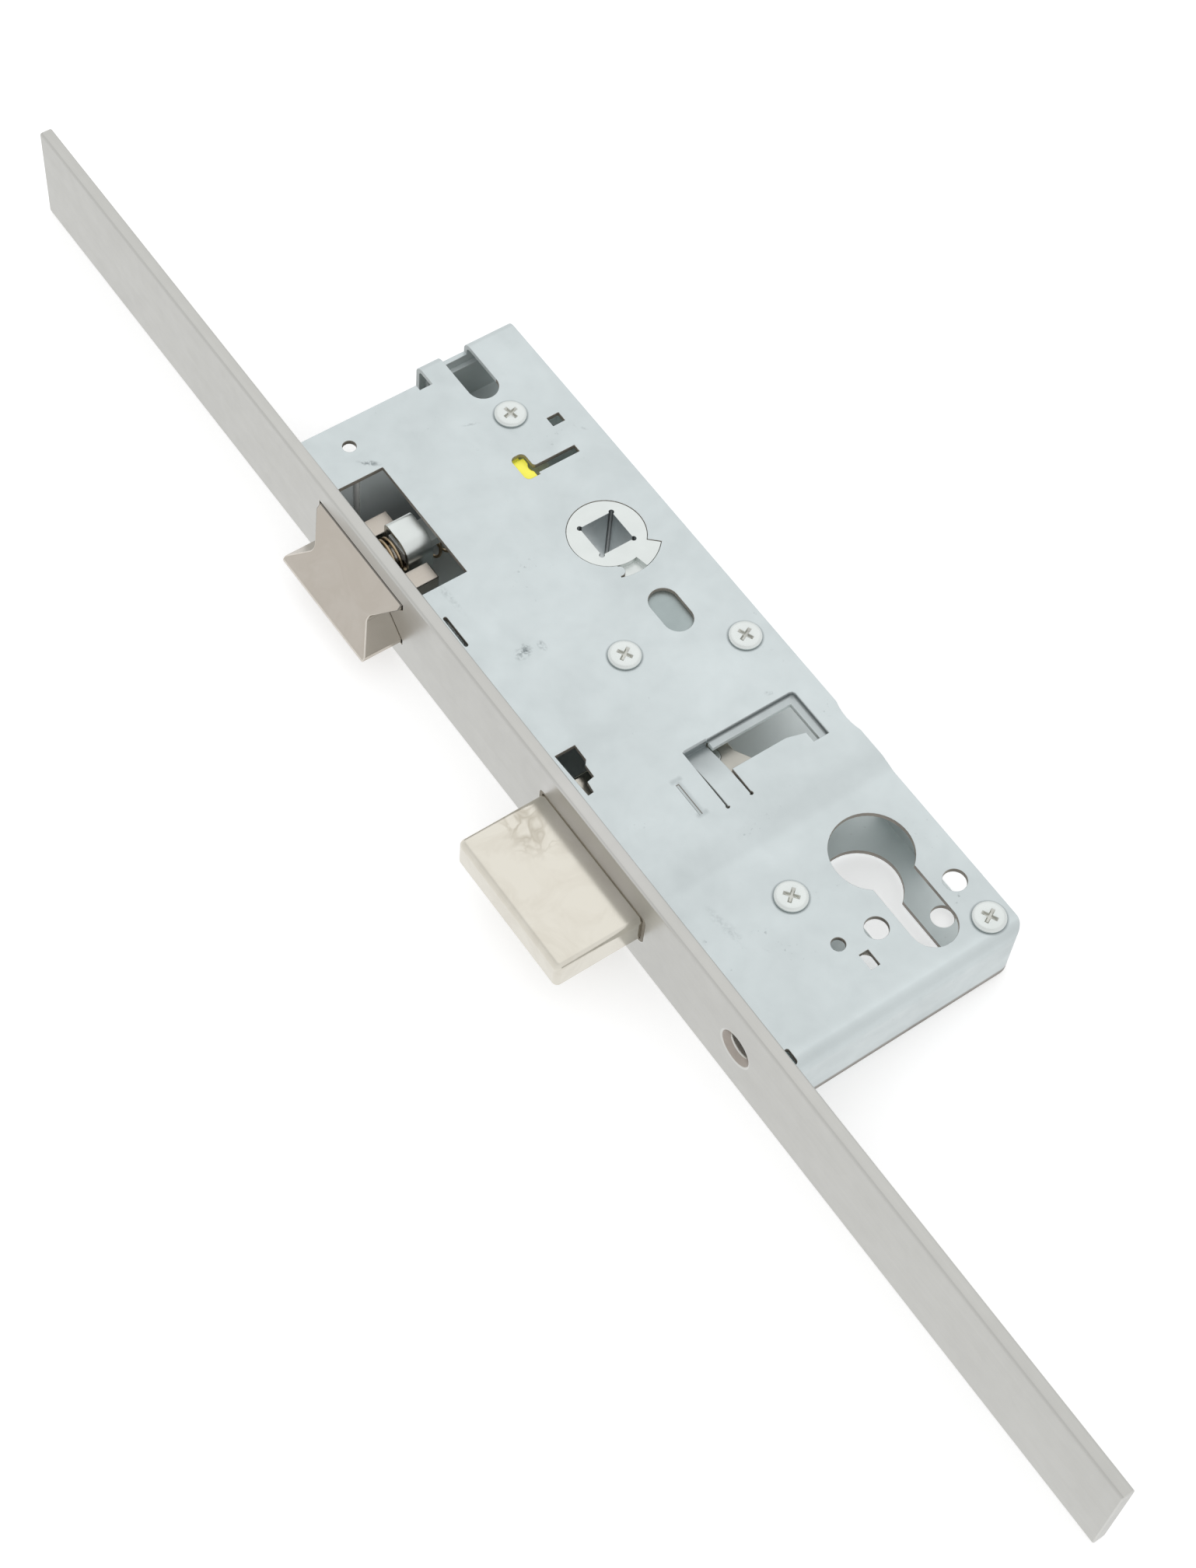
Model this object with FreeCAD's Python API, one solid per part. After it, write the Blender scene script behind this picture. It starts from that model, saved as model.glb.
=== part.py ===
import FreeCAD, Part
import math
import os

# Narrow mortise lock with latch, deadbolt and euro-profile cylinder cut-out, in millimetres.
# Origin: centre of the round part of the cylinder cut-out, half way through the lower case.
# X runs along the faceplate towards its cylinder end, Y from the faceplate into the case,
# Z towards the screwed cover. The lock is drawn with the latch out and the deadbolt thrown.

os.makedirs("parts", exist_ok=True)
Vec = FreeCAD.Vector
X_AXIS = Vec(1, 0, 0)
Y_AXIS = Vec(0, 1, 0)
Z_AXIS = Vec(0, 0, 1)

# Main layout
CENTRE_DISTANCE = 90.0              # follower axis to cylinder axis
BACKSET = 45.0                      # faceplate's front to both axes
REAR_MARGIN = 15.0                  # both axes to the case's rear edge
FOLLOWER_X = -CENTRE_DISTANCE
FRONT_Y = -BACKSET
REAR_Y = REAR_MARGIN

# Faceplate
FACEPLATE_WIDTH = 25.0
FACEPLATE_THICKNESS = 3.0
FACEPLATE_ABOVE_FOLLOWER = 155.0
FACEPLATE_BELOW_CYLINDER = 127.0
FACEPLATE_EDGE_RADIUS = 0.6
FACEPLATE_TOP_X = FOLLOWER_X - FACEPLATE_ABOVE_FOLLOWER
FACEPLATE_REAR_Y = FRONT_Y + FACEPLATE_THICKNESS

# Case sheets
SHEET = 1.2
HALF_CASE = 7.9                     # mid-plane to the outer face of the lower cover and of the back
COVER_STEP = 0.9                    # the cover's upper part stands this much prouder
CASE_ABOVE_FOLLOWER = 53.6
EAR_RISE = 4.7                      # folded top wall beyond the case's top edge
CASE_END_X = 30.0
CASE_TOP_X = FOLLOWER_X - CASE_ABOVE_FOLLOWER
EAR_X = CASE_TOP_X - EAR_RISE
CASE_FRONT_Y = FACEPLATE_REAR_Y
BACK_OUT = -HALF_CASE
BACK_IN = BACK_OUT + SHEET
LOWER_OUT = HALF_CASE
LOWER_IN = LOWER_OUT - SHEET
UPPER_OUT = HALF_CASE + COVER_STEP
UPPER_IN = UPPER_OUT - SHEET
FLANGE_IN_Y = CASE_FRONT_Y + SHEET
REAR_IN_Y = REAR_Y - SHEET
JOGGLE_END_X = -12.0                # end of the cover's step, towards the cylinder
JOGGLE_LENGTH = 4.0
JOGGLE_START_X = JOGGLE_END_X - JOGGLE_LENGTH
END_BEND_RADIUS = 3.0
EAR_BEND_RADIUS = 2.2
EAR_FOOT_Z = -0.7
EAR_SIDE_Y = -8.8
END_CORNER_RADIUS = 3.6
BEND_RELIEF_WIDTH = 3.1
BEND_RELIEF_DEPTH = 1.5
EAR_FOOT_RADIUS = 1.6
REAR_WALL_TOP_GAP = 4.0             # plain rear wall left away at the case's top edge
REAR_WALL_BOLT_GAP = 4.0            # and on the upper side of the deadbolt's tail
REAR_WALL_LEVER_GAP = 12.0          # and on its lower side, over the throw lever
REAR_WALL_END_X = 4.0
REAR_DIP_LENGTH = 8.0
REAR_DIP_DEPTH = 0.6
END_WALL_GAP = 0.5                  # the cover's end wall stops short of the back's outer face
TOP_WALL_TOP = 3.4                  # the back's own top wall, inside the cover's folded one
TOP_WALL_SETBACK = 1.6

# Fits
RUNNING = 0.08                      # radial play of a turning journal
PIN_PLAY = 0.05                     # radial play of a lever on its pin
RIVET_PLAY = 0.01
SIDE_PLAY = 0.3                     # play beside a sliding piece

# Cylinder cut-out
CYLINDER_RADIUS = 8.65
CYLINDER_SLOT_WIDTH = 10.2
CYLINDER_HEIGHT = 33.0
CYLINDER_SCREW_X = 17.1
CYLINDER_SCREW_RADIUS = 2.75
CYLINDER_SCREW_SINK_RADIUS = 4.3
CYLINDER_SCREW_SINK_DEPTH = 1.5
FIXING_HOLE_X = 14.0
FIXING_HOLE_SPACING = 19.4
FIXING_HOLE_RADIUS = 2.5

# Follower
HUB_RADIUS = 8.4
SQUARE = 8.05
SQUARE_RELIEF_RADIUS = 0.55
HUB_BASE_RADIUS = 9.8
HUB_SINK = 0.1                      # journal ends below the outer faces of the case
KEY_RADIUS = 11.2
LOBE_RADIUS = 11.4
LOBE_FROM = 12.0
LOBE_TO = 47.0
FOLLOWER_TURN = 24.0
CRESCENT_PLAY = 0.5                 # degrees of the crescent beyond the lobe's travel
CRESCENT_TAB_RADIUS = 1.25          # rounded tab that ends the crescent
CRESCENT_TAB_REACH = 9.9
FLANGE_RADIUS = 12.0
FLANGE_THICKNESS = 0.6
FLANGE_PLAY = 0.2                   # under the cover
ARM_LENGTH = 22.8
ARM_NOSE_RADIUS = 3.0
ARM_WIDTH = 4.4
ARM_RING_RADIUS = 13.2
ARM_LOW = 1.2
ARM_THICKNESS = 2.4
ARM_TOP = ARM_LOW + ARM_THICKNESS
LATCH_THROW = 2 * ARM_LENGTH * math.sin(math.radians(FOLLOWER_TURN / 2))

# Latch
LATCH_ABOVE_FOLLOWER = 23.9
LATCH_LENGTH = 30.8
LATCH_COVER_PLAY = 0.6
LATCH_TOP_Z = UPPER_IN - LATCH_COVER_PLAY
LATCH_BOTTOM_Z = BACK_IN + SIDE_PLAY
LATCH_LIP = 1.3
LATCH_GROOVE = 5.4
LATCH_GROOVE_ROUND = 1.2
LATCH_TOOTH_ROUND = 1.0              # edge of the faceplate that enters the groove
LATCH_TIP = 0.6
LATCH_HEAD_BEHIND_FRONT = 5.0
LATCH_GAP = 0.4
LATCH_EDGE_RADIUS = 0.4
LATCH_X = FOLLOWER_X - LATCH_ABOVE_FOLLOWER
LATCH_REAR_Y = FRONT_Y + LATCH_HEAD_BEHIND_FRONT
FORK_LENGTH = 7.8
FORK_WIDTH = 4.6
FORK_SPREAD = 15.6                  # between the two forks' centre lines
FORK_THICKNESS = 3.4
NECK_LENGTH = 3.8
NECK_RADIUS = 2.5
BOSS_LENGTH = 5.2
BOSS_WIDTH = 7.4
BOSS_DEPTH = 7.0
BOSS_FRONT_Y = LATCH_REAR_Y + NECK_LENGTH
BOSS_REAR_Y = BOSS_FRONT_Y + BOSS_LENGTH
NECK_Z = (LATCH_TOP_Z + LATCH_BOTTOM_Z) / 2
TAIL_WIDTH = 6.0
TAIL_HOOK_PLAY = 0.3
TAIL_HOOK_DEPTH = 4.0
TAIL_HOOK_OVERLAP = 2.6             # hook beyond the arm's nose
TAIL_OUTER_WIDTH = 6.4
TAIL_SHOULDER_PLAY = 1.2
TAIL_BEND_LENGTH = 3.6
TAIL_INNER_X = FOLLOWER_X - ARM_LENGTH - ARM_NOSE_RADIUS - TAIL_HOOK_PLAY
TAIL_OUTER_X = TAIL_INNER_X - TAIL_OUTER_WIDTH
RIVET_RADIUS = 0.8
RIVET_SPACING = 2.8
RIVET_FROM_END = 2.4
RIVET_HEAD_RADIUS = 1.25
RIVET_HEAD_HEIGHT = 0.5
RIVET_GRIP = 2.6
SADDLE_SHEET = 1.0
SADDLE_LENGTH = 6.2
SADDLE_TOP = 6.0
SADDLE_FOOT_DEPTH = 4.0             # its feet below the boss's top
SADDLE_NEAR_BEND = 4.0              # outer bend radius on the follower's side
SADDLE_FAR_BEND = 1.6
HEAD_SPRING_RADIUS = 4.2
HEAD_SPRING_WIRE = 0.7
HEAD_SPRING_TURNS = 3

# Latch spring
LATCH_SPRING_RADIUS = 3.0
LATCH_SPRING_WIRE = 0.7
LATCH_SPRING_TURNS = 8
LATCH_SPRING_Z = -2.6
SPRING_SEAT_Y = -12.0
SPRING_SEAT_WIDTH = 8.0
SPRING_SEAT_TOP = 0.8
SPRING_END_GAP = 0.1

# Latch guide posts
GUIDE_POST_RADIUS = 0.75
GUIDE_POST_BEHIND_FRONT = 9.8

# Return spring
RETURN_SPRING_RADIUS = 9.2
RETURN_SPRING_WIRE = 0.9
RETURN_SPRING_TURNS = 1.5
RETURN_SPRING_PITCH = 1.2
RETURN_SPRING_LEG = 16.2
RETURN_SPRING_ARM_LEG = 11.2         # leg that turns with the arm
RETURN_POST_RADIUS = 1.2
RETURN_POST_REACH = 14.5
ARM_LUG_RADIUS = 0.9
ARM_LUG_HEIGHT = 1.6
ARM_LUG_REACH = 9.4
SPRING_TOUCH = 0.05

# Reversing slide
SLIDE_TRAVEL = 2.5
SLIDE_STEM_RADIUS = 0.8
SLIDE_CLIP_RADIUS = 1.3
SLIDE_WIDTH = 3.3
SLIDE_BAR_THICKNESS = 1.5
SLIDE_STUB_LENGTH = 6.4
SLIDE_STUB_PLAY = 0.3               # under the cover sheet
SLIDE_Y = -4.55
SLIDE_SLOT_PLAY = 0.15
SLIDE_TIP_ABOVE_FOLLOWER = 20.2
SLIDE_STEM_MARGIN = 1.0
SLIDE_STEM_REACH = 0.9              # stem's end below the latch tail
SLIDE_EDGE_RADIUS = 0.8
SLIDE_WAIST_RADIUS = 1.6
SLIDE_WAIST_DEPTH = 0.5
SLIDE_WINDOW_RADIUS = 1.2
SLIDE_WINDOW_CORNER = 0.8
SLIDE_WINDOW_TIP = 0.2
SLIDE_WINDOW_LEG_FROM = 2.3
SLIDE_WINDOW_LEG_TO = 0.4
SLIDE_WINDOW_END_PLAY = 0.9

# Deadbolt
THROW_ARM = 20.0
THROW_HALF_TURN = 30.0
DEADBOLT_THROW = 2 * THROW_ARM * math.sin(math.radians(THROW_HALF_TURN))
DEADBOLT_X = -30.6
DEADBOLT_WIDTH = 34.2
DEADBOLT_THICKNESS = 8.0
DEADBOLT_INSIDE = 13.5              # from the faceplate's front to the bolt's rear, thrown
DEADBOLT_EDGE_RADIUS = 1.3
DEADBOLT_GAP = 0.5
DEADBOLT_END_GAP = 0.8
DEADBOLT_TIP_Y = FRONT_Y - DEADBOLT_THROW
DEADBOLT_REAR_Y = FRONT_Y + DEADBOLT_INSIDE
TAIL_THICKNESS = 3.0
TAIL_ABOVE_MIDDLE = 15.4
TAIL_BELOW_MIDDLE = 6.1
TAIL_LEFT_X = DEADBOLT_X - TAIL_ABOVE_MIDDLE
TAIL_RIGHT_X = DEADBOLT_X + TAIL_BELOW_MIDDLE
TAIL_SEAT = 9.5
TAIL_END_MARGIN = 2.1
GUIDE_PIN_RADIUS = 1.5
GUIDE_PIN_BELOW_MIDDLE = 2.6
GUIDE_PIN_X = DEADBOLT_X + GUIDE_PIN_BELOW_MIDDLE
GUIDE_PIN_Y = DEADBOLT_REAR_Y + DEADBOLT_THROW + SIDE_PLAY + GUIDE_PIN_RADIUS
GUIDE_SLOT_PLAY = 0.15
DEADBOLT_RIVET_RADIUS = 1.5
DEADBOLT_RIVET_SPREAD = 10.0
DEADBOLT_RIVET_OFFSET = 4.6         # their middle, above the bolt's middle
TAIL_CORNER_RADIUS = 1.5

# Throw lever
THROW_PIVOT_X = -19.0
THROW_PIVOT_Y = -2.0
THROW_JOURNAL_RADIUS = 2.5
THROW_SHOULDER_RADIUS = 4.0
THROW_BOSS_RADIUS = 4.6
THROW_PIN_RADIUS = 2.0
THROW_PIN_BOSS_RADIUS = 3.5
THROW_PIN_REACH = 0.7
THROW_SLOT_PLAY = 0.3
THROW_LOW = TAIL_THICKNESS / 2 + SIDE_PLAY
THROW_THICKNESS = 2.5
PRONG_LENGTH = 8.0
PRONG_RADIUS = 1.4
PRONG_ANGLE = 32.0

# Detent spring
DETENT_THICKNESS = 0.5
DETENT_WIDTH = 5.0
DETENT_Y = -7.5
DETENT_DEPTH = 1.0                  # notch depth in the tail's edge
DETENT_NOSE_RADIUS = 2.5
DETENT_PLAY = 0.15
DETENT_LIP = 1.2
DETENT_LOOP_ANGLE = 100.0
DETENT_NOSE_ANGLE = 60.0
DETENT_NOTCH_RADIUS = DETENT_NOSE_RADIUS + DETENT_THICKNESS / 2 + DETENT_PLAY
DETENT_X = TAIL_LEFT_X + DETENT_DEPTH - DETENT_NOTCH_RADIUS

# Cover posts and screws: place on the case, from the follower or from the cylinder axis
POST_RADIUS = 3.0
POST_SPIGOT_RADIUS = 2.0
POST_BORE_DEPTH = 9.0
SCREW_RADIUS = 1.5
SCREW_LENGTH = 7.0
SCREW_HEAD_RADIUS = 3.5
SCREW_HEAD_HEIGHT = 0.9
SCREW_HEAD_ROUND = 0.5
SCREW_HOLE_RADIUS = 1.8
CROSS_LENGTH = 3.6
CROSS_WIDTH = 0.9
CROSS_DEPTH = 0.7
SUPPORT_THICKNESS = 1.2             # plate under the cover, over posts two and three
SUPPORT_RADIUS = 4.6
SUPPORT_OVERLAP = 1.8               # beyond the oval hole
POST_ONE_GAP = 0.8                  # to the latch tail
POST_TWO_BELOW_FOLLOWER = 27.0
POST_THREE_ABOVE_DEADBOLT = 23.1
POST_ONE = (TAIL_OUTER_X - POST_ONE_GAP - POST_RADIUS, 0.6)
POST_TWO = (FOLLOWER_X + POST_TWO_BELOW_FOLLOWER, -14.6)
POST_THREE = (DEADBOLT_X - POST_THREE_ABOVE_DEADBOLT, 8.9)
POST_FOUR = (-0.4, -19.5)
POST_FIVE = (24.2, 10.0)
UPPER_POSTS = [POST_ONE, POST_TWO, POST_THREE]
LOWER_POSTS = [POST_FOUR, POST_FIVE]

# Cover windows and slots
WINDOW_DEPTH = 12.2
WINDOW_LENGTH = 31.6
WINDOW_OFFSET = 0.7                 # its middle, towards the follower from the latch's
TOP_SLOT_WIDTH = 6.9
TOP_SLOT_LENGTH = 15.8
TOP_SLOT_DEPTH = 3.3
OVAL_LENGTH = 11.5
OVAL_WIDTH = 6.5
OVAL_BELOW_FOLLOWER = 22.8
TONGUE_WIDTH = 5.4
TONGUE_DROP = 1.9
TONGUE_GAP = 0.35
TONGUE_ROOT_BELOW_DEADBOLT = 7.5
TONGUE_ROOT_X = DEADBOLT_X + TONGUE_ROOT_BELOW_DEADBOLT
TONGUE_NICK_RADIUS = 0.4
TONGUE_Y = -15.2
LEDGE_WIDTH = 1.7
LEDGE_DROP = 0.95
HOOK_ABOVE_DEADBOLT = 7.1
HOOK_SIDE_BELOW_DEADBOLT = 0.9
HOOK_END_BELOW_DEADBOLT = 4.6
HOOK_TOP_X = DEADBOLT_X - HOOK_ABOVE_DEADBOLT
HOOK_SIDE_X = DEADBOLT_X + HOOK_SIDE_BELOW_DEADBOLT
HOOK_END_X = DEADBOLT_X + HOOK_END_BELOW_DEADBOLT
HOOK_OUTER_RADIUS = 1.0
HOOK_INNER_RADIUS = 1.3
HOOK_REAR_Y = 9.0
HOOK_CORNER_Y = 5.4
HOOK_CORNER_RUN = 1.2
HOOK_CORNER_RISE = 4.2

# Small punched holes that carry nothing
PILOT_RADIUS = 1.5
PILOT_FROM_TOP = 6.3
PILOT_FROM_FRONT = 12.3
SQUARE_HOLE_FROM_POST = (4.8, 6.0)
SQUARE_HOLE_SIDES = (2.5, 3.0)
SLIT_RADIUS = 0.4
SLIT_LENGTH = 7.6
SLIT_FROM_FRONT = 5.0
# Corners of the stepped hole, counted from the deadbolt's middle and from the faceplate's front
STEPPED_HOLE = [(-20.4, 5.0), (-20.4, 9.8), (-16.4, 9.7), (-15.5, 8.9), (-12.4, 8.8), (-12.1, 7.0),
                (-9.5, 6.7), (-9.4, 5.4)]
LOWER_HOLE_X = 12.8
LOWER_HOLE_Y = -18.1
LOWER_SLOT_X = 16.8
LOWER_SLOT_Y = -16.2
LOWER_SLOT_SIDES = (3.8, 2.2)
END_SLOT_RADIUS = 0.5
END_SLOT_FROM_END = 4.4
END_SLOT_LENGTH = 2.4
END_SLOT_FROM_FRONT = 4.9
MARK_FROM_DEADBOLT = -1.9
MARK_Y = -23.8
MARK_LENGTH = 8.0
MARK_WIDTH = 0.6
MARK_DEPTH = 0.3

CUT = 1.0                           # how far a cutter runs past the faces it cuts
MARKS_PER_TURN = 20                 # points compared when a coil's turns are measured


def box(low_x, high_x, low_y, high_y, low_z, high_z):
    return Part.makeBox(high_x - low_x, high_y - low_y, high_z - low_z, Vec(low_x, low_y, low_z))


def post(radius, x, y, low_z, high_z):
    return Part.makeCylinder(radius, high_z - low_z, Vec(x, y, low_z), Z_AXIS)


def plate(points, low_z, high_z):
    corners = [Vec(x, y, low_z) for x, y in points]
    face = Part.Face(Part.makePolygon(corners + corners[:1]))
    return face.extrude(Vec(0, 0, high_z - low_z))


def slot(radius, x_from, y_from, x_to, y_to, low_z, high_z):
    """A straight slot or bar with round ends, seen from above."""
    start = Vec(x_from, y_from, low_z)
    end = Vec(x_to, y_to, low_z)
    along = (end - start).normalize()
    side = Z_AXIS.cross(along).multiply(radius)
    tip = Vec(along).multiply(radius)
    edges = [
        Part.LineSegment(start - side, end - side).toShape(),
        Part.Arc(end - side, end + tip, end + side).toShape(),
        Part.LineSegment(end + side, start + side).toShape(),
        Part.Arc(start + side, start - tip, start - side).toShape(),
    ]
    return Part.Face(Part.Wire(edges)).extrude(Vec(0, 0, high_z - low_z))


def sector(radius, from_deg, to_deg, low_z, high_z):
    """A pie slice round the follower axis."""
    centre = Vec(FOLLOWER_X, 0, low_z)

    def rim(angle):
        turn = math.radians(angle)
        return centre + Vec(radius * math.cos(turn), radius * math.sin(turn), 0)

    edges = [
        Part.LineSegment(centre, rim(from_deg)).toShape(),
        Part.Arc(rim(from_deg), rim((from_deg + to_deg) / 2), rim(to_deg)).toShape(),
        Part.LineSegment(rim(to_deg), centre).toShape(),
    ]
    return Part.Face(Part.Wire(edges)).extrude(Vec(0, 0, high_z - low_z))


def edges_along(shape, direction, test):
    """Straight edges along a direction whose middle passes the test."""
    found = []
    for edge in shape.Edges:
        if len(edge.Vertexes) < 2:
            continue
        run = edge.Vertexes[1].Point - edge.Vertexes[0].Point
        if run.Length > 0 and abs(run.normalize().dot(direction)) > 0.999:
            if test(edge.CenterOfMass):
                found.append(edge)
    return found


def save(name, *solids):
    shape = solids[0] if len(solids) == 1 else Part.makeCompound(list(solids))
    shape.exportStep("parts/" + name + ".step")


def arc_edge(start, corner, end):
    """The arc that is tangent at both ends to the lines towards one corner."""
    middle = (start + end) * 0.5
    rise = corner - middle
    half = (end - start).Length / 2
    quarter_turn = math.atan2(rise.Length, half) / 2
    crown = middle + rise.normalize() * (half * math.tan(quarter_turn))
    return Part.Arc(start, crown, end).toShape()


def coil(radius, pitch, turns, start_angle, place):
    """Edges of a helix: each quarter turn is two tangent arcs. place maps coil space to the lock."""
    step = math.pi / 2
    rise = pitch / 4
    speed = math.hypot(radius * step, rise)
    edges = []
    for number in range(round(turns * 4)):
        ends = []
        for k in (number, number + 1):
            angle = start_angle + k * step
            at = Vec(radius * math.cos(angle), radius * math.sin(angle), rise * k)
            way = Vec(-radius * step * math.sin(angle), radius * step * math.cos(angle), rise)
            ends.append((at, way.multiply(1 / speed)))
        (p0, t0), (p1, t1) = ends
        gap = p1 - p0
        both = t0 + t1
        # Equal handles d: the two corners lie 2d apart
        a = 4 - both.dot(both)
        b = 2 * gap.dot(both)
        c = -gap.dot(gap)
        d = (-b + math.sqrt(b * b - 4 * a * c)) / (2 * a)
        corner_a = p0 + t0 * d
        corner_b = p1 - t1 * d
        join = (corner_a + corner_b) * 0.5
        edges.append(arc_edge(place(p0), place(corner_a), place(join)))
        edges.append(arc_edge(place(join), place(corner_b), place(p1)))
    return edges


def wire_tube(edges, radius):
    path = Part.Wire(edges)
    start = edges[0].valueAt(edges[0].FirstParameter)
    way = edges[0].tangentAt(edges[0].FirstParameter)
    ring = Part.Wire(Part.makeCircle(radius, start, way))
    return path.makePipeShell([ring], True, False)


def least_gap(edges, wire, skip):
    """Smallest clear distance between stretches of a wound wire that are far apart along it."""
    marks = []
    for edge in edges:
        marks.extend(edge.discretize(6)[:-1])
    least = None
    for i, here in enumerate(marks):
        for there in marks[i + skip:]:
            space = (there - here).Length - wire
            least = space if least is None else min(least, space)
    return least


def latch_outline(y, grow):
    """Hourglass section of the latch, seen along Y, with a V groove in each end."""
    half = LATCH_LENGTH / 2 + grow
    top = LATCH_TOP_Z + grow
    low = LATCH_BOTTOM_Z - grow
    middle = (top + low) / 2
    points = [
        (-half, top), (half, top), (half, top - LATCH_LIP - grow), (half - LATCH_GROOVE, middle),
        (half, low + LATCH_LIP + grow), (half, low), (-half, low), (-half, low + LATCH_LIP + grow),
        (-half + LATCH_GROOVE, middle), (-half, top - LATCH_LIP - grow),
    ]
    corners = [Vec(LATCH_X + x, y, z) for x, z in points]
    return Part.Face(Part.makePolygon(corners + corners[:1]))


def in_groove(point):
    return abs(point.x - LATCH_X) < LATCH_LENGTH / 2 - LATCH_GROOVE / 2


def outside_groove(point):
    return abs(point.x - LATCH_X) > LATCH_LENGTH / 2 - LATCH_EDGE_RADIUS


def latch_opening():
    cutter = latch_outline(FRONT_Y - CUT, LATCH_GAP).extrude(Vec(0, FLANGE_IN_Y - FRONT_Y + 2 * CUT, 0))
    return cutter.makeFillet(LATCH_TOOTH_ROUND, edges_along(cutter, Y_AXIS, in_groove))


def deadbolt_opening():
    half = DEADBOLT_WIDTH / 2 + DEADBOLT_END_GAP
    tall = DEADBOLT_THICKNESS / 2 + DEADBOLT_GAP
    cutter = box(DEADBOLT_X - half, DEADBOLT_X + half, FRONT_Y - CUT, FLANGE_IN_Y + CUT, -tall, tall)
    return cutter.makeFillet(DEADBOLT_EDGE_RADIUS, edges_along(cutter, Y_AXIS, lambda p: True))


def cylinder_screw_cut(low_y, high_y):
    return Part.makeCylinder(CYLINDER_SCREW_RADIUS, high_y - low_y, Vec(CYLINDER_SCREW_X, low_y, 0), Y_AXIS)


def cylinder_cut(low_z, high_z):
    barrel = post(CYLINDER_RADIUS, 0, 0, low_z, high_z)
    foot = CYLINDER_HEIGHT - CYLINDER_RADIUS - CYLINDER_SLOT_WIDTH / 2
    return barrel.fuse(slot(CYLINDER_SLOT_WIDTH / 2, 0, 0, foot, 0, low_z, high_z))


def fixing_holes(low_z, high_z):
    holes = []
    for side in (-1, 1):
        y = side * FIXING_HOLE_SPACING / 2
        holes.append(post(FIXING_HOLE_RADIUS, FIXING_HOLE_X, y, low_z, high_z))
    return holes


def oval_hole(low_z, high_z):
    reach = (OVAL_LENGTH - OVAL_WIDTH) / 2
    x = FOLLOWER_X + OVAL_BELOW_FOLLOWER
    return slot(OVAL_WIDTH / 2, x - reach, 0, x + reach, 0, low_z, high_z)


def make_faceplate():
    half = FACEPLATE_WIDTH / 2
    bar = box(FACEPLATE_TOP_X, FACEPLATE_BELOW_CYLINDER, FRONT_Y, FACEPLATE_REAR_Y, -half, half)
    bar = bar.makeFillet(FACEPLATE_EDGE_RADIUS, edges_along(bar, X_AXIS, lambda p: True))
    sink = Part.makeCone(CYLINDER_SCREW_SINK_RADIUS, CYLINDER_SCREW_RADIUS, CYLINDER_SCREW_SINK_DEPTH,
                         Vec(CYLINDER_SCREW_X, FRONT_Y, 0), Y_AXIS)
    cuts = [latch_opening(), deadbolt_opening(), sink]
    cuts.append(cylinder_screw_cut(FRONT_Y - CUT, FACEPLATE_REAR_Y + CUT))
    return bar.cut(cuts)


def make_case_back():
    corner = END_CORNER_RADIUS
    inner_end = CASE_END_X - SHEET
    base = box(CASE_TOP_X, inner_end, CASE_FRONT_Y, REAR_Y, BACK_OUT, BACK_IN)
    base = base.makeFillet(corner, edges_along(base, Z_AXIS, lambda p: p.x > 0 and p.y > 0))
    base = base.fuse(box(EAR_X + SHEET, CASE_TOP_X, EAR_SIDE_Y, REAR_Y, BACK_OUT, BACK_IN))
    flange = box(CASE_TOP_X, JOGGLE_START_X, CASE_FRONT_Y, FLANGE_IN_Y, BACK_IN, UPPER_IN)
    flange_end = CASE_END_X - END_BEND_RADIUS
    low_flange = box(JOGGLE_START_X, flange_end, CASE_FRONT_Y, FLANGE_IN_Y, BACK_IN, LOWER_IN)
    # Rear walls, left open where the deadbolt tail passes and beside the cylinder
    upper_rear = box(CASE_TOP_X + REAR_WALL_TOP_GAP, TAIL_LEFT_X - REAR_WALL_BOLT_GAP, REAR_IN_Y, REAR_Y,
                     BACK_IN, UPPER_IN)
    lower_rear = box(TAIL_RIGHT_X + REAR_WALL_LEVER_GAP, REAR_WALL_END_X, REAR_IN_Y, REAR_Y,
                     BACK_IN, LOWER_IN)
    half_seat = SPRING_SEAT_WIDTH / 2
    seat_x = LATCH_X
    seat = box(seat_x - half_seat, seat_x + half_seat, SPRING_SEAT_Y, SPRING_SEAT_Y + SHEET,
               BACK_IN, SPRING_SEAT_TOP)
    seat_height = SPRING_SEAT_TOP - BACK_IN
    lanced = box(seat_x - half_seat, seat_x + half_seat, SPRING_SEAT_Y + SHEET,
                 SPRING_SEAT_Y + SHEET + seat_height, BACK_OUT - CUT, BACK_IN + CUT / 2)
    top_wall = box(EAR_X + SHEET, EAR_X + 2 * SHEET, EAR_SIDE_Y + TOP_WALL_SETBACK, REAR_Y,
                   BACK_IN, TOP_WALL_TOP)
    shell = base.fuse([flange, low_flange, upper_rear, lower_rear, seat, top_wall])
    low = BACK_OUT - CUT
    high = BACK_IN + CUT / 2
    cuts = [latch_opening(), deadbolt_opening(), lanced]
    cuts.append(cylinder_screw_cut(CASE_FRONT_Y - CUT, FLANGE_IN_Y + CUT))
    cuts.append(cylinder_cut(low, high))
    cuts.append(post(HUB_RADIUS + RUNNING, FOLLOWER_X, 0, low, high))
    cuts.extend(fixing_holes(low, high))
    for x, y in UPPER_POSTS + LOWER_POSTS:
        cuts.append(post(POST_SPIGOT_RADIUS + RIVET_PLAY, x, y, low, high))
    for x, y, radius in riveted_pins():
        cuts.append(post(radius + RIVET_PLAY, x, y, low, high))
    return shell.cut(cuts).removeSplitter()


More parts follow.
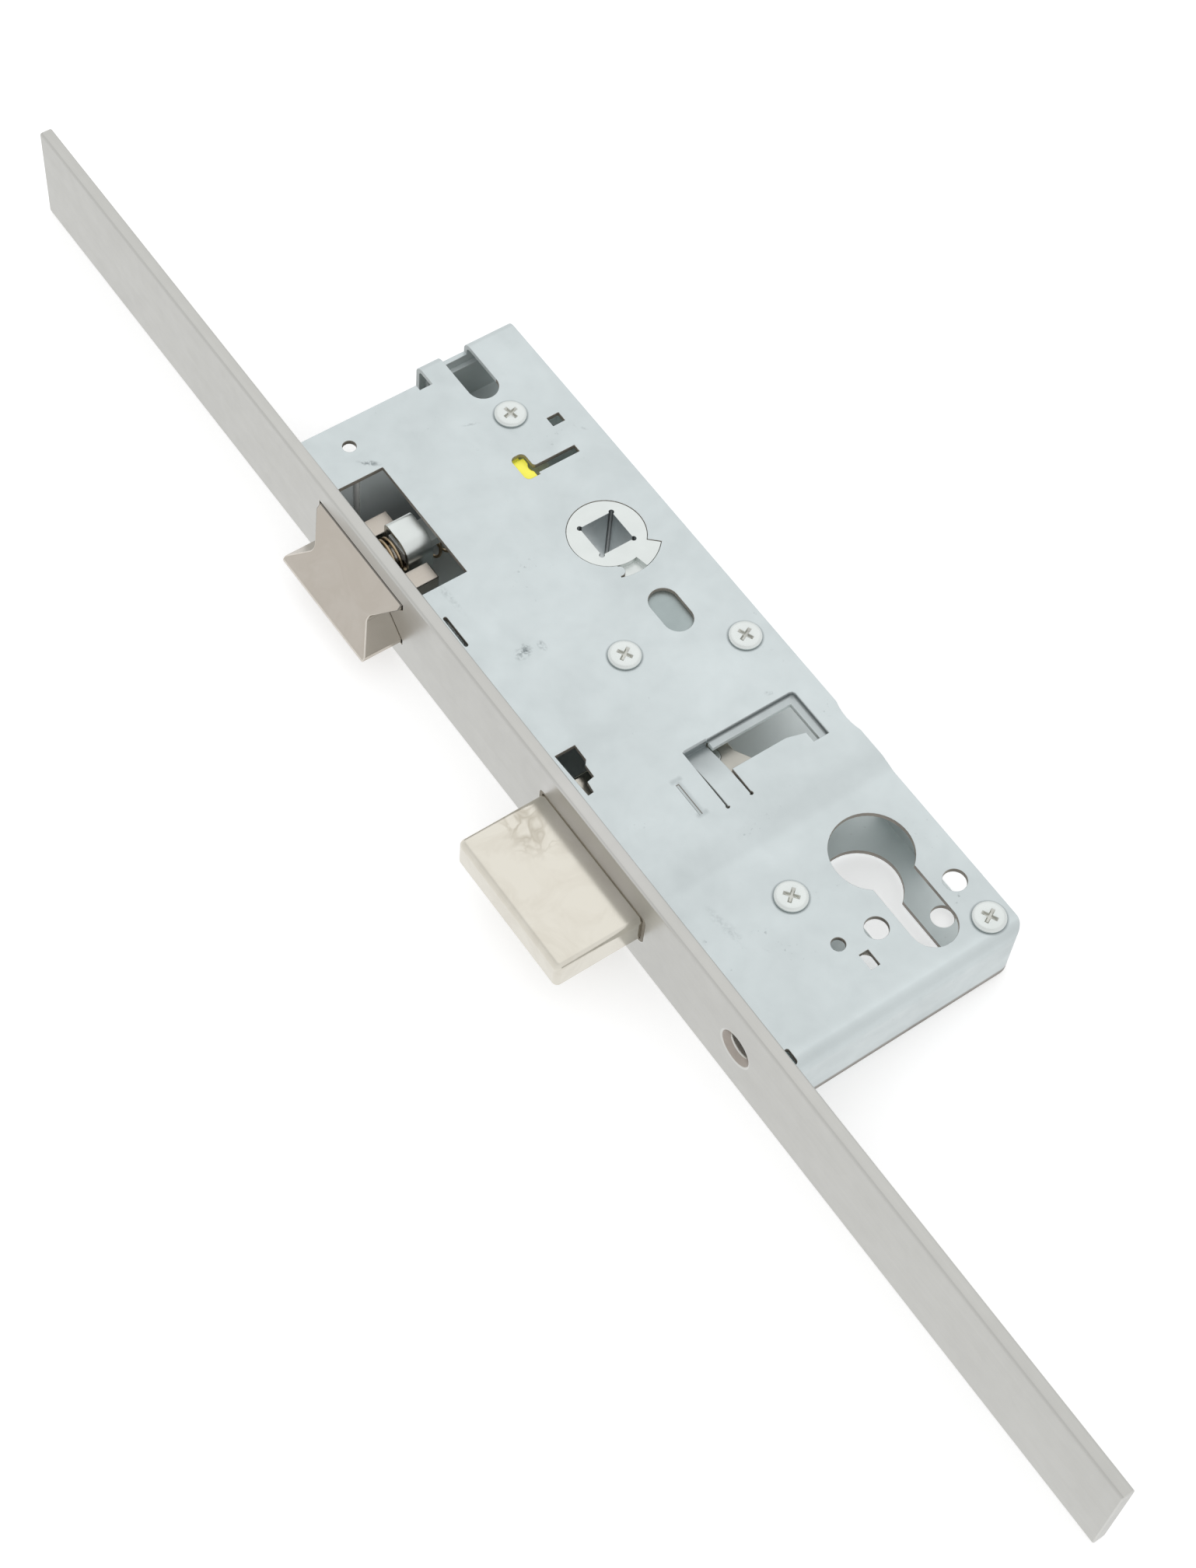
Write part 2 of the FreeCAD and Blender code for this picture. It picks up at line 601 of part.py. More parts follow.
def riveted_pins():
    """Place and spigot radius of the plain pins riveted into the back sheet."""
    pins = [(x, y, GUIDE_POST_RADIUS) for x, y in guide_post_places()]
    pins.append((GUIDE_PIN_X, GUIDE_PIN_Y, GUIDE_PIN_RADIUS))
    pins.append((THROW_PIVOT_X, THROW_PIVOT_Y, THROW_JOURNAL_RADIUS))
    pins.append((*return_post_place(), RETURN_POST_RADIUS))
    return pins


def cover_sheet():
    """The cover's bent profile, drawn on its front edge and pulled to the rear edge."""
    def at(x, z):
        return Vec(x, CASE_FRONT_Y, z)

    ear = EAR_BEND_RADIUS
    end = END_BEND_RADIUS
    ear_in = ear - SHEET
    end_in = end - SHEET
    bend = math.sqrt(0.5)
    wall_low = BACK_OUT + END_WALL_GAP
    line = Part.LineSegment
    edges = [
        line(at(EAR_X, EAR_FOOT_Z), at(EAR_X, UPPER_OUT - ear)),
        Part.Arc(at(EAR_X, UPPER_OUT - ear), at(EAR_X + ear - ear * bend, UPPER_OUT - ear + ear * bend),
                 at(EAR_X + ear, UPPER_OUT)),
        line(at(EAR_X + ear, UPPER_OUT), at(JOGGLE_START_X, UPPER_OUT)),
        line(at(JOGGLE_START_X, UPPER_OUT), at(JOGGLE_END_X, LOWER_OUT)),
        line(at(JOGGLE_END_X, LOWER_OUT), at(CASE_END_X - end, LOWER_OUT)),
        Part.Arc(at(CASE_END_X - end, LOWER_OUT),
                 at(CASE_END_X - end + end * bend, LOWER_OUT - end + end * bend),
                 at(CASE_END_X, LOWER_OUT - end)),
        line(at(CASE_END_X, LOWER_OUT - end), at(CASE_END_X, wall_low)),
        line(at(CASE_END_X, wall_low), at(CASE_END_X - SHEET, wall_low)),
        line(at(CASE_END_X - SHEET, wall_low), at(CASE_END_X - SHEET, LOWER_OUT - end)),
        Part.Arc(at(CASE_END_X - SHEET, LOWER_OUT - end),
                 at(CASE_END_X - end + end_in * bend, LOWER_OUT - end + end_in * bend),
                 at(CASE_END_X - end, LOWER_IN)),
        line(at(CASE_END_X - end, LOWER_IN), at(JOGGLE_END_X, LOWER_IN)),
        line(at(JOGGLE_END_X, LOWER_IN), at(JOGGLE_START_X, UPPER_IN)),
        line(at(JOGGLE_START_X, UPPER_IN), at(EAR_X + ear, UPPER_IN)),
        Part.Arc(at(EAR_X + ear, UPPER_IN), at(EAR_X + ear - ear_in * bend, UPPER_OUT - ear + ear_in * bend),
                 at(EAR_X + SHEET, UPPER_OUT - ear)),
        line(at(EAR_X + SHEET, UPPER_OUT - ear), at(EAR_X + SHEET, EAR_FOOT_Z)),
        line(at(EAR_X + SHEET, EAR_FOOT_Z), at(EAR_X, EAR_FOOT_Z)),
    ]
    face = Part.Face(Part.Wire([edge.toShape() for edge in edges]))
    return face.extrude(Vec(0, REAR_Y - CASE_FRONT_Y, 0))


def hook_points(inset):
    """Outline of the hooked window; inset draws the inner edge of its ledge."""
    rear = HOOK_REAR_Y - inset
    top = HOOK_TOP_X + inset
    front = TONGUE_Y + TONGUE_WIDTH / 2 + TONGUE_GAP
    return [
        (top, front), (top, rear), (HOOK_END_X, rear), (HOOK_END_X, HOOK_CORNER_Y),
        (HOOK_SIDE_X + HOOK_CORNER_RUN, HOOK_CORNER_Y), (HOOK_SIDE_X, HOOK_CORNER_Y - HOOK_CORNER_RISE),
        (HOOK_SIDE_X, front),
    ]


def rounded_hook(inset, low, high):
    """The hooked window as a block, with its far corner rounded."""
    block = plate(hook_points(inset), low, high)
    middle_y = (HOOK_REAR_Y + HOOK_CORNER_Y) / 2
    radius = HOOK_INNER_RADIUS if inset else HOOK_OUTER_RADIUS

    def far_corner(p):
        return p.x < HOOK_SIDE_X and p.y > middle_y

    return block.makeFillet(radius, edges_along(block, Z_AXIS, far_corner))


def make_case_cover():
    sheet = cover_sheet()
    low = EAR_FOOT_Z - CUT
    high = UPPER_OUT + CUT
    # Plain top edge beside the ear, with a bend relief
    cuts = [box(EAR_X - CUT, CASE_TOP_X, CASE_FRONT_Y - CUT, EAR_SIDE_Y, low, high)]
    cuts.append(box(CASE_TOP_X - CUT, CASE_TOP_X + BEND_RELIEF_DEPTH, EAR_SIDE_Y - BEND_RELIEF_WIDTH,
                    EAR_SIDE_Y, low, high))
    cuts.append(ear_foot_corner())
    # Rounded rear corner at the cylinder end
    r = END_CORNER_RADIUS
    block = box(CASE_END_X - r, CASE_END_X + CUT, REAR_Y - r, REAR_Y + CUT, BACK_OUT - CUT, high)
    cuts.append(block.cut(post(r, CASE_END_X - r, REAR_Y - r, BACK_OUT - CUT, high)))
    cuts.append(rear_dip(LOWER_IN - CUT, high))
    # Slot that runs out over the ear's bend
    half = TOP_SLOT_WIDTH / 2
    reach = EAR_X + TOP_SLOT_LENGTH - half
    cuts.append(slot(half, EAR_X - TOP_SLOT_WIDTH, 0, reach, 0, UPPER_OUT - TOP_SLOT_DEPTH, high))
    # Window over the latch
    half = WINDOW_LENGTH / 2
    window_x = LATCH_X + WINDOW_OFFSET
    cuts.append(box(window_x - half, window_x + half, CASE_FRONT_Y - CUT, CASE_FRONT_Y + WINDOW_DEPTH,
                    UPPER_IN - CUT, high))
    through = LOWER_IN - CUT
    cuts.append(post(HUB_RADIUS + RUNNING, FOLLOWER_X, 0, through, high))
    cuts.append(crescent(through, high))
    cuts.append(cylinder_cut(through, high))
    cuts.append(oval_hole(through, high))
    cuts.extend(fixing_holes(through, high))
    for x, y in UPPER_POSTS + LOWER_POSTS:
        cuts.append(post(SCREW_HOLE_RADIUS, x, y, through, high))
    cuts.extend(small_cover_cuts(through, high))
    # Hooked window, its dropped ledge and the tongue
    window = rounded_hook(0, through, high)
    tongue_bay = box(HOOK_TOP_X, TONGUE_ROOT_X, TONGUE_Y - TONGUE_WIDTH / 2 - TONGUE_GAP,
                     TONGUE_Y + TONGUE_WIDTH / 2 + TONGUE_GAP, through, high)
    cuts.extend([window, tongue_bay])
    for side in (-1, 1):
        y = TONGUE_Y + side * (TONGUE_WIDTH + TONGUE_GAP) / 2
        cuts.append(post(TONGUE_NICK_RADIUS, TONGUE_ROOT_X, y, through, high))
    cover = sheet.cut(cuts)
    ledge = rounded_hook(0, UPPER_IN - LEDGE_DROP, UPPER_OUT - LEDGE_DROP)
    hollow = rounded_hook(LEDGE_WIDTH, through, high)
    keep = box(HOOK_TOP_X - CUT, HOOK_END_X, HOOK_REAR_Y - LEDGE_WIDTH, HOOK_REAR_Y, through, high)
    side = box(HOOK_TOP_X, HOOK_TOP_X + LEDGE_WIDTH, TONGUE_Y + TONGUE_WIDTH / 2 + TONGUE_GAP,
               HOOK_REAR_Y, through, high)
    ledge = ledge.cut(hollow).common(keep.fuse(side))
    return cover.fuse([ledge, tongue()]).removeSplitter()


def crescent(low, high):
    """Cutter for the lobe's room, ended by a rounded tab of the cover."""
    tab_turn = math.degrees(CRESCENT_TAB_RADIUS / CRESCENT_TAB_REACH)
    end = LOBE_FROM - FOLLOWER_TURN - CRESCENT_PLAY - tab_turn
    room = sector(LOBE_RADIUS + RUNNING, end, LOBE_TO + CRESCENT_PLAY, low, high)
    turn = math.radians(end)
    x = FOLLOWER_X + CRESCENT_TAB_REACH * math.cos(turn)
    y = CRESCENT_TAB_REACH * math.sin(turn)
    return room.cut(post(CRESCENT_TAB_RADIUS, x, y, low - CUT, high + CUT))


def ear_foot_corner():
    """Cutter that rounds the corner of the folded top wall, seen along X."""
    r = EAR_FOOT_RADIUS
    low = EAR_FOOT_Z
    block = box(EAR_X - CUT, EAR_X + SHEET + CUT, EAR_SIDE_Y - CUT, EAR_SIDE_Y + r, low - CUT, low + r)
    round_bar = Part.makeCylinder(r, SHEET + 4 * CUT, Vec(EAR_X - 2 * CUT, EAR_SIDE_Y + r, low + r), X_AXIS)
    return block.cut(round_bar)


def rear_dip(low, high):
    """Cutter for the shallow dip in the cover's rear edge, behind the deadbolt."""
    half = REAR_DIP_LENGTH / 2
    start = Vec(TONGUE_ROOT_X - half - half, REAR_Y, low)
    end = Vec(TONGUE_ROOT_X, REAR_Y, low)
    deepest = Vec(TONGUE_ROOT_X - half, REAR_Y - REAR_DIP_DEPTH, low)
    outside = Vec(TONGUE_ROOT_X - half, REAR_Y + CUT, low)
    edges = [
        Part.Arc(start, deepest, end).toShape(),
        Part.LineSegment(end, outside).toShape(),
        Part.LineSegment(outside, start).toShape(),
    ]
    return Part.Face(Part.Wire(edges)).extrude(Vec(0, 0, high - low))


def tongue():
    """Pressed tongue of the cover: level at its root, dipping to its tip, where a wall joins it to the sheet."""
    low_y = TONGUE_Y - TONGUE_WIDTH / 2
    root = TONGUE_ROOT_X
    tip = HOOK_TOP_X
    middle = (root + tip) / 2

    def at(x, z):
        return Vec(x, low_y, z)

    edges = [
        Part.Arc(at(root, UPPER_OUT), at(middle, UPPER_OUT - TONGUE_DROP / 4),
                 at(tip, UPPER_OUT - TONGUE_DROP)),
        Part.LineSegment(at(tip, UPPER_OUT - TONGUE_DROP), at(tip, UPPER_IN - TONGUE_DROP)),
        Part.Arc(at(tip, UPPER_IN - TONGUE_DROP), at(middle, UPPER_IN - TONGUE_DROP / 4), at(root, UPPER_IN)),
        Part.LineSegment(at(root, UPPER_IN), at(root, UPPER_OUT)),
    ]
    face = Part.Face(Part.Wire([edge.toShape() for edge in edges]))
    wall = box(tip - SHEET, tip, low_y, low_y + TONGUE_WIDTH, UPPER_IN - TONGUE_DROP, UPPER_IN)
    return face.extrude(Vec(0, TONGUE_WIDTH, 0)).fuse(wall)


def small_cover_cuts(low, high):
    """Punched holes of the cover that carry nothing."""
    pilot = post(PILOT_RADIUS, CASE_TOP_X + PILOT_FROM_TOP, FRONT_Y + PILOT_FROM_FRONT, low, high)
    x = POST_ONE[0] + SQUARE_HOLE_FROM_POST[0]
    y = POST_ONE[1] + SQUARE_HOLE_FROM_POST[1]
    square = box(x, x + SQUARE_HOLE_SIDES[0], y, y + SQUARE_HOLE_SIDES[1], low, high)
    y = FRONT_Y + SLIT_FROM_FRONT
    slit = slot(SLIT_RADIUS, FOLLOWER_X, y, FOLLOWER_X + SLIT_LENGTH, y, low, high)
    stepped = plate([(DEADBOLT_X + x, FRONT_Y + depth) for x, depth in STEPPED_HOLE], low, high)
    lower_round = post(PILOT_RADIUS, LOWER_HOLE_X, LOWER_HOLE_Y, low, high)
    lower_slot = box(LOWER_SLOT_X, LOWER_SLOT_X + LOWER_SLOT_SIDES[0], LOWER_SLOT_Y,
                     LOWER_SLOT_Y + LOWER_SLOT_SIDES[1], low, high)
    x = CASE_END_X - END_SLOT_FROM_END
    y = FRONT_Y + END_SLOT_FROM_FRONT
    end_slot = slot(END_SLOT_RADIUS, x, y, x + END_SLOT_LENGTH, y, low, high)
    x = DEADBOLT_X + MARK_FROM_DEADBOLT
    mark = box(x, x + MARK_LENGTH, MARK_Y, MARK_Y + MARK_WIDTH, UPPER_OUT - MARK_DEPTH, high)
    return [pilot, square, slide_window(low, high), slit, stepped, lower_round, lower_slot, end_slot, mark]


def slide_window(low, high):
    """L-shaped slot over the reversing slide: a short leg across and a long leg for the latch's travel."""
    tip = FOLLOWER_X - SLIDE_TIP_ABOVE_FOLLOWER
    half = SLIDE_WIDTH / 2
    end_y = SLIDE_Y + LATCH_THROW + half + SLIDE_WINDOW_END_PLAY
    short_leg = box(tip - SLIDE_STUB_LENGTH, tip + SLIDE_WINDOW_TIP, SLIDE_Y - half, SLIDE_Y + half,
                    low, high)
    long_leg = box(tip - SLIDE_WINDOW_LEG_FROM, tip - SLIDE_WINDOW_LEG_TO, SLIDE_Y, end_y, low, high)
    window = short_leg.fuse(long_leg).removeSplitter()
    inner = edges_along(window, Z_AXIS, lambda p: at_inner_corner(p, tip, half))
    window = window.makeFillet(SLIDE_WINDOW_CORNER, inner)
    return window.makeFillet(SLIDE_WINDOW_RADIUS, edges_along(window, Z_AXIS, lambda p: at_short_leg(p, half)))


def at_inner_corner(p, tip, half):
    return abs(p.x - tip + SLIDE_WINDOW_LEG_FROM) < PIN_PLAY and abs(p.y - SLIDE_Y - half) < PIN_PLAY


def at_short_leg(p, half):
    """True at the short leg's corners, but not where the long leg leaves it."""
    return abs(abs(p.y - SLIDE_Y) - half) < PIN_PLAY and (
        p.x < FOLLOWER_X - SLIDE_TIP_ABOVE_FOLLOWER - SLIDE_STUB_LENGTH + PIN_PLAY or p.y < SLIDE_Y)


def make_cover_support_plate():
    """Flat plate on posts two and three, under the cover; it closes the oval hole."""
    low = UPPER_IN - SUPPORT_THICKNESS
    bar = slot(SUPPORT_RADIUS, *POST_TWO, *POST_THREE, low, UPPER_IN)
    oval_x = FOLLOWER_X + OVAL_BELOW_FOLLOWER
    half = OVAL_WIDTH / 2 + SUPPORT_OVERLAP
    wing = box(oval_x - OVAL_LENGTH / 2 - SUPPORT_OVERLAP, (POST_TWO[0] + POST_THREE[0]) / 2, -half, half,
               low, UPPER_IN)
    wing = wing.makeFillet(SUPPORT_OVERLAP, edges_along(wing, Z_AXIS, lambda p: p.x < oval_x))
    holes = [post(SCREW_HOLE_RADIUS, x, y, low - CUT, UPPER_IN + CUT) for x, y in (POST_TWO, POST_THREE)]
    return bar.fuse(wing).cut(holes).removeSplitter()


def make_cover_posts():
    solids = []
    under_plate = UPPER_IN - SUPPORT_THICKNESS
    for places, top in (([POST_ONE], UPPER_IN), ([POST_TWO, POST_THREE], under_plate), (LOWER_POSTS, LOWER_IN)):
        for x, y in places:
            pillar = post(POST_RADIUS, x, y, BACK_IN, top)
            pillar = pillar.fuse(post(POST_SPIGOT_RADIUS, x, y, BACK_OUT, BACK_IN))
            solids.append(pillar.cut(post(SCREW_RADIUS, x, y, top - POST_BORE_DEPTH, top + CUT)))
    return solids


def make_cover_screws():
    solids = []
    for places, top in ((UPPER_POSTS, UPPER_OUT), (LOWER_POSTS, LOWER_OUT)):
        for x, y in places:
            head = post(SCREW_HEAD_RADIUS, x, y, top, top + SCREW_HEAD_HEIGHT)
            rim = [edge for edge in head.Edges if edge.BoundBox.ZMin > top + SCREW_HEAD_HEIGHT / 2]
            head = head.makeFillet(SCREW_HEAD_ROUND, rim)
            crown = top + SCREW_HEAD_HEIGHT
            long = CROSS_LENGTH / 2
            thin = CROSS_WIDTH / 2
            cross = box(x - long, x + long, y - thin, y + thin, crown - CROSS_DEPTH, crown + CUT)
            cross = cross.fuse(box(x - thin, x + thin, y - long, y + long, crown - CROSS_DEPTH, crown + CUT))
            shank = post(SCREW_RADIUS - RIVET_PLAY, x, y, top - SCREW_LENGTH, top)
            solids.append(head.cut(cross).fuse(shank))
    return solids


def guide_post_places():
    half = LATCH_LENGTH / 2 + GUIDE_POST_RADIUS + SIDE_PLAY + LATCH_GAP
    y = FRONT_Y + GUIDE_POST_BEHIND_FRONT
    return [(LATCH_X - half, y), (LATCH_X + half, y)]


def make_guide_posts():
    return [post(GUIDE_POST_RADIUS, x, y, BACK_OUT, UPPER_IN) for x, y in guide_post_places()]


def make_follower():
    drum = post(HUB_RADIUS, FOLLOWER_X, 0, BACK_OUT + HUB_SINK, UPPER_OUT - HUB_SINK)
    base = post(HUB_BASE_RADIUS, FOLLOWER_X, 0, BACK_IN + SIDE_PLAY, ARM_LOW)
    key = sector(KEY_RADIUS, LOBE_FROM, LOBE_TO, ARM_LOW, ARM_TOP)
    flange_top = UPPER_IN - FLANGE_PLAY
    flange = post(FLANGE_RADIUS, FOLLOWER_X, 0, flange_top - FLANGE_THICKNESS, flange_top)
    lobe = sector(LOBE_RADIUS, LOBE_FROM, LOBE_TO, flange_top, UPPER_OUT - HUB_SINK)
    hub = drum.fuse([base, key, flange, lobe])
    half = SQUARE / 2
    low = BACK_OUT - CUT
    high = UPPER_OUT + CUT
    cuts = [box(FOLLOWER_X - half, FOLLOWER_X + half, -half, half, low, high)]
    for sx in (-1, 1):
        for sy in (-1, 1):
            cuts.append(post(SQUARE_RELIEF_RADIUS, FOLLOWER_X + sx * half, sy * half, low, high))
    return hub.cut(cuts)


def arm_nose():
    turn = math.radians(180 + FOLLOWER_TURN / 2)
    return FOLLOWER_X + ARM_LENGTH * math.cos(turn), ARM_LENGTH * math.sin(turn)


def lug_place():
    """The lug stands inside the lower leg of the return spring."""
    y = RETURN_SPRING_RADIUS - RETURN_SPRING_WIRE / 2 - ARM_LUG_RADIUS - SPRING_TOUCH
    return FOLLOWER_X - ARM_LUG_REACH, y


def make_follower_arm():
    nose_x, nose_y = arm_nose()
    ring = post(ARM_RING_RADIUS, FOLLOWER_X, 0, ARM_LOW, ARM_TOP)
    bar = slot(ARM_WIDTH / 2, FOLLOWER_X, 0, nose_x, nose_y, ARM_LOW, ARM_TOP)
    nose = post(ARM_NOSE_RADIUS, nose_x, nose_y, ARM_LOW, ARM_TOP)
    lug_x, lug_y = lug_place()
    lug = post(ARM_LUG_RADIUS, lug_x, lug_y, ARM_TOP, ARM_TOP + ARM_LUG_HEIGHT)
    bore = post(HUB_RADIUS + PIN_PLAY, FOLLOWER_X, 0, ARM_LOW - CUT, ARM_TOP + CUT)
    keyway = sector(KEY_RADIUS + PIN_PLAY, LOBE_FROM - PIN_PLAY, LOBE_TO + PIN_PLAY,
                    ARM_LOW - CUT, ARM_TOP + CUT)
    return ring.fuse([bar, nose, lug]).cut([bore, keyway])


def return_post_place():
    """The post stands inside the upper leg of the return spring."""
    y = -RETURN_SPRING_RADIUS + RETURN_SPRING_WIRE / 2 + RETURN_POST_RADIUS + SPRING_TOUCH
    return FOLLOWER_X - RETURN_POST_REACH, y


def make_return_spring():
    low = ARM_TOP + SIDE_PLAY + RETURN_SPRING_WIRE / 2

    def place(p):
        # Mirrored in X so that the coil runs clockwise, seen from the cover
        return Vec(FOLLOWER_X - p.x, p.y, low + p.z)

    edges = coil(RETURN_SPRING_RADIUS, RETURN_SPRING_PITCH, RETURN_SPRING_TURNS, math.pi / 2, place)
    first = edges[0].valueAt(edges[0].FirstParameter)
    last = edges[-1].valueAt(edges[-1].LastParameter)
    start_way = edges[0].tangentAt(edges[0].FirstParameter)
    end_way = edges[-1].tangentAt(edges[-1].LastParameter)
    start_way.z = 0
    end_way.z = 0
    leg_in = Part.LineSegment(first - start_way * RETURN_SPRING_ARM_LEG, first).toShape()
    leg_out = Part.LineSegment(last, last + end_way * RETURN_SPRING_LEG).toShape()
    gap = least_gap(edges, RETURN_SPRING_WIRE, MARKS_PER_TURN)
    print("return spring, least gap between turns: %.2f mm" % gap)
    return wire_tube([leg_in] + edges + [leg_out], RETURN_SPRING_WIRE / 2)


def make_latch_bolt():
    tip_y = FRONT_Y - LATCH_THROW
    head = latch_outline(tip_y, 0).extrude(Vec(0, LATCH_REAR_Y - tip_y, 0))
    head = head.makeFillet(LATCH_GROOVE_ROUND, edges_along(head, Y_AXIS, in_groove))
    head = head.makeFillet(LATCH_EDGE_RADIUS, edges_along(head, Y_AXIS, outside_groove))
    nose_z = LATCH_BOTTOM_Z + LATCH_TIP
    profile = [(FRONT_Y, LATCH_TOP_Z), (tip_y, nose_z), (tip_y - CUT, nose_z),
               (tip_y - CUT, LATCH_TOP_Z + CUT), (FRONT_Y, LATCH_TOP_Z + CUT)]
    start_x = LATCH_X - LATCH_LENGTH
    corners = [Vec(start_x, y, z) for y, z in profile]
    bevel = Part.Face(Part.makePolygon(corners + corners[:1])).extrude(Vec(2 * LATCH_LENGTH, 0, 0))
    head = head.cut(bevel)
    # Rear forks, and the neck and boss that carry the tail
    for side in (-1, 1):
        x = LATCH_X + side * FORK_SPREAD / 2
        head = head.fuse(box(x - FORK_WIDTH / 2, x + FORK_WIDTH / 2, LATCH_REAR_Y, LATCH_REAR_Y + FORK_LENGTH,
                             ARM_LOW - FORK_THICKNESS, ARM_LOW))
    half = BOSS_WIDTH / 2
    boss = box(LATCH_X - half, LATCH_X + half, BOSS_FRONT_Y, BOSS_REAR_Y, ARM_LOW - BOSS_DEPTH, ARM_LOW)
    neck = Part.makeCylinder(NECK_RADIUS, NECK_LENGTH, Vec(LATCH_X, LATCH_REAR_Y, NECK_Z), Y_AXIS)
    holes = [post(RIVET_RADIUS + RIVET_PLAY, x, y, ARM_LOW - RIVET_GRIP, ARM_LOW + CUT)
             for x, y in tail_rivet_places()]
    return head.fuse([boss, neck]).cut(holes).removeSplitter()


def tail_rivet_places():
    return [(LATCH_X + side * RIVET_SPACING / 2, BOSS_REAR_Y - RIVET_FROM_END) for side in (-1, 1)]


def make_latch_saddle():
    """Bent sheet over the tail's end, its feet on both sides of the boss."""
    near = SADDLE_NEAR_BEND
    far = SADDLE_FAR_BEND
    foot = ARM_LOW - SADDLE_FOOT_DEPTH
    right = LATCH_X + BOSS_WIDTH / 2 + SADDLE_SHEET
    left = LATCH_X - BOSS_WIDTH / 2 - SADDLE_SHEET
    bend = math.sqrt(0.5)

    def at(x, z):
        return Vec(x, BOSS_FRONT_Y, z)

    def hood(inset):
        top = SADDLE_TOP - inset
        low_x = left + inset
        high_x = right - inset
        near_in = near - inset
        far_in = far - inset
        near_x = right - near
        near_z = SADDLE_TOP - near
        far_x = left + far
        far_z = SADDLE_TOP - far
        edges = [
            Part.LineSegment(at(low_x, foot), at(low_x, far_z)),
            Part.Arc(at(low_x, far_z), at(far_x - far_in * bend, far_z + far_in * bend), at(far_x, top)),
            Part.LineSegment(at(far_x, top), at(near_x, top)),
            Part.Arc(at(near_x, top), at(near_x + near_in * bend, near_z + near_in * bend), at(high_x, near_z)),
            Part.LineSegment(at(high_x, near_z), at(high_x, foot)),
            Part.LineSegment(at(high_x, foot), at(low_x, foot)),
        ]
        wire = Part.Wire([edge.toShape() for edge in edges])
        return Part.Face(wire).extrude(Vec(0, SADDLE_LENGTH, 0))

    return hood(0).cut(hood(SADDLE_SHEET))


def make_head_spring():
    """Short coil round the neck, between the latch head and the boss."""
    ends = SPRING_END_GAP + HEAD_SPRING_WIRE / 2
    pitch = (NECK_LENGTH - 2 * ends) / HEAD_SPRING_TURNS

    def place(p):
        return Vec(LATCH_X + p.x, LATCH_REAR_Y + ends + p.z, NECK_Z + p.y)

    edges = coil(HEAD_SPRING_RADIUS, pitch, HEAD_SPRING_TURNS, 0, place)
    gap = least_gap(edges, HEAD_SPRING_WIRE, MARKS_PER_TURN)
    print("head spring, least gap between turns: %.2f mm" % gap)
    return wire_tube(edges, HEAD_SPRING_WIRE / 2)


def make_latch_tail():
    nose_x, nose_y = arm_nose()
    half = TAIL_WIDTH / 2
    hook_y = nose_y + ARM_NOSE_RADIUS + TAIL_HOOK_PLAY
    inner = TAIL_INNER_X
    outer = TAIL_OUTER_X
    start = BOSS_FRONT_Y
    shoulder = nose_y - ARM_NOSE_RADIUS - TAIL_SHOULDER_PLAY
    bend = shoulder - TAIL_BEND_LENGTH
    hook_end = nose_x + TAIL_HOOK_OVERLAP
    points = [
        (LATCH_X - half, start), (LATCH_X + half, start), (LATCH_X + half, bend), (inner, shoulder),
        (inner, hook_y), (hook_end, hook_y), (hook_end, hook_y + TAIL_HOOK_DEPTH),
        (outer, hook_y + TAIL_HOOK_DEPTH), (outer, shoulder), (LATCH_X - half, bend),
    ]
    strip = plate(points, ARM_LOW, ARM_TOP)
    holes = [post(RIVET_RADIUS + RIVET_PLAY, x, y, ARM_LOW - CUT, ARM_TOP + CUT)
             for x, y in tail_rivet_places()]
    stem_x = slide_stem_x()
    guide = slot(SLIDE_STEM_RADIUS + SLIDE_SLOT_PLAY, stem_x - SLIDE_TRAVEL, SLIDE_Y, stem_x, SLIDE_Y,
                 ARM_LOW - CUT, ARM_TOP + CUT)
    return strip.cut(holes + [guide])


def make_tail_rivets():
    solids = []
    for x, y in tail_rivet_places():
        shank = post(RIVET_RADIUS, x, y, ARM_LOW - RIVET_GRIP, ARM_TOP)
        solids.append(shank.fuse(post(RIVET_HEAD_RADIUS, x, y, ARM_TOP, ARM_TOP + RIVET_HEAD_HEIGHT)))
    return solids


def make_latch_spring():
    start_y = BOSS_REAR_Y + SPRING_END_GAP + LATCH_SPRING_WIRE / 2
    end_y = SPRING_SEAT_Y - SPRING_END_GAP - LATCH_SPRING_WIRE / 2
    pitch = (end_y - start_y) / LATCH_SPRING_TURNS

    def place(p):
        return Vec(LATCH_X + p.x, start_y + p.z, LATCH_SPRING_Z + p.y)

    edges = coil(LATCH_SPRING_RADIUS, pitch, LATCH_SPRING_TURNS, 0, place)
    gap = least_gap(edges, LATCH_SPRING_WIRE, MARKS_PER_TURN)
    print("latch spring, least gap between turns: %.2f mm" % gap)
    return wire_tube(edges, LATCH_SPRING_WIRE / 2)


def slide_stem_x():
    return TAIL_INNER_X - SLIDE_STEM_MARGIN - SLIDE_STEM_RADIUS - SLIDE_SLOT_PLAY


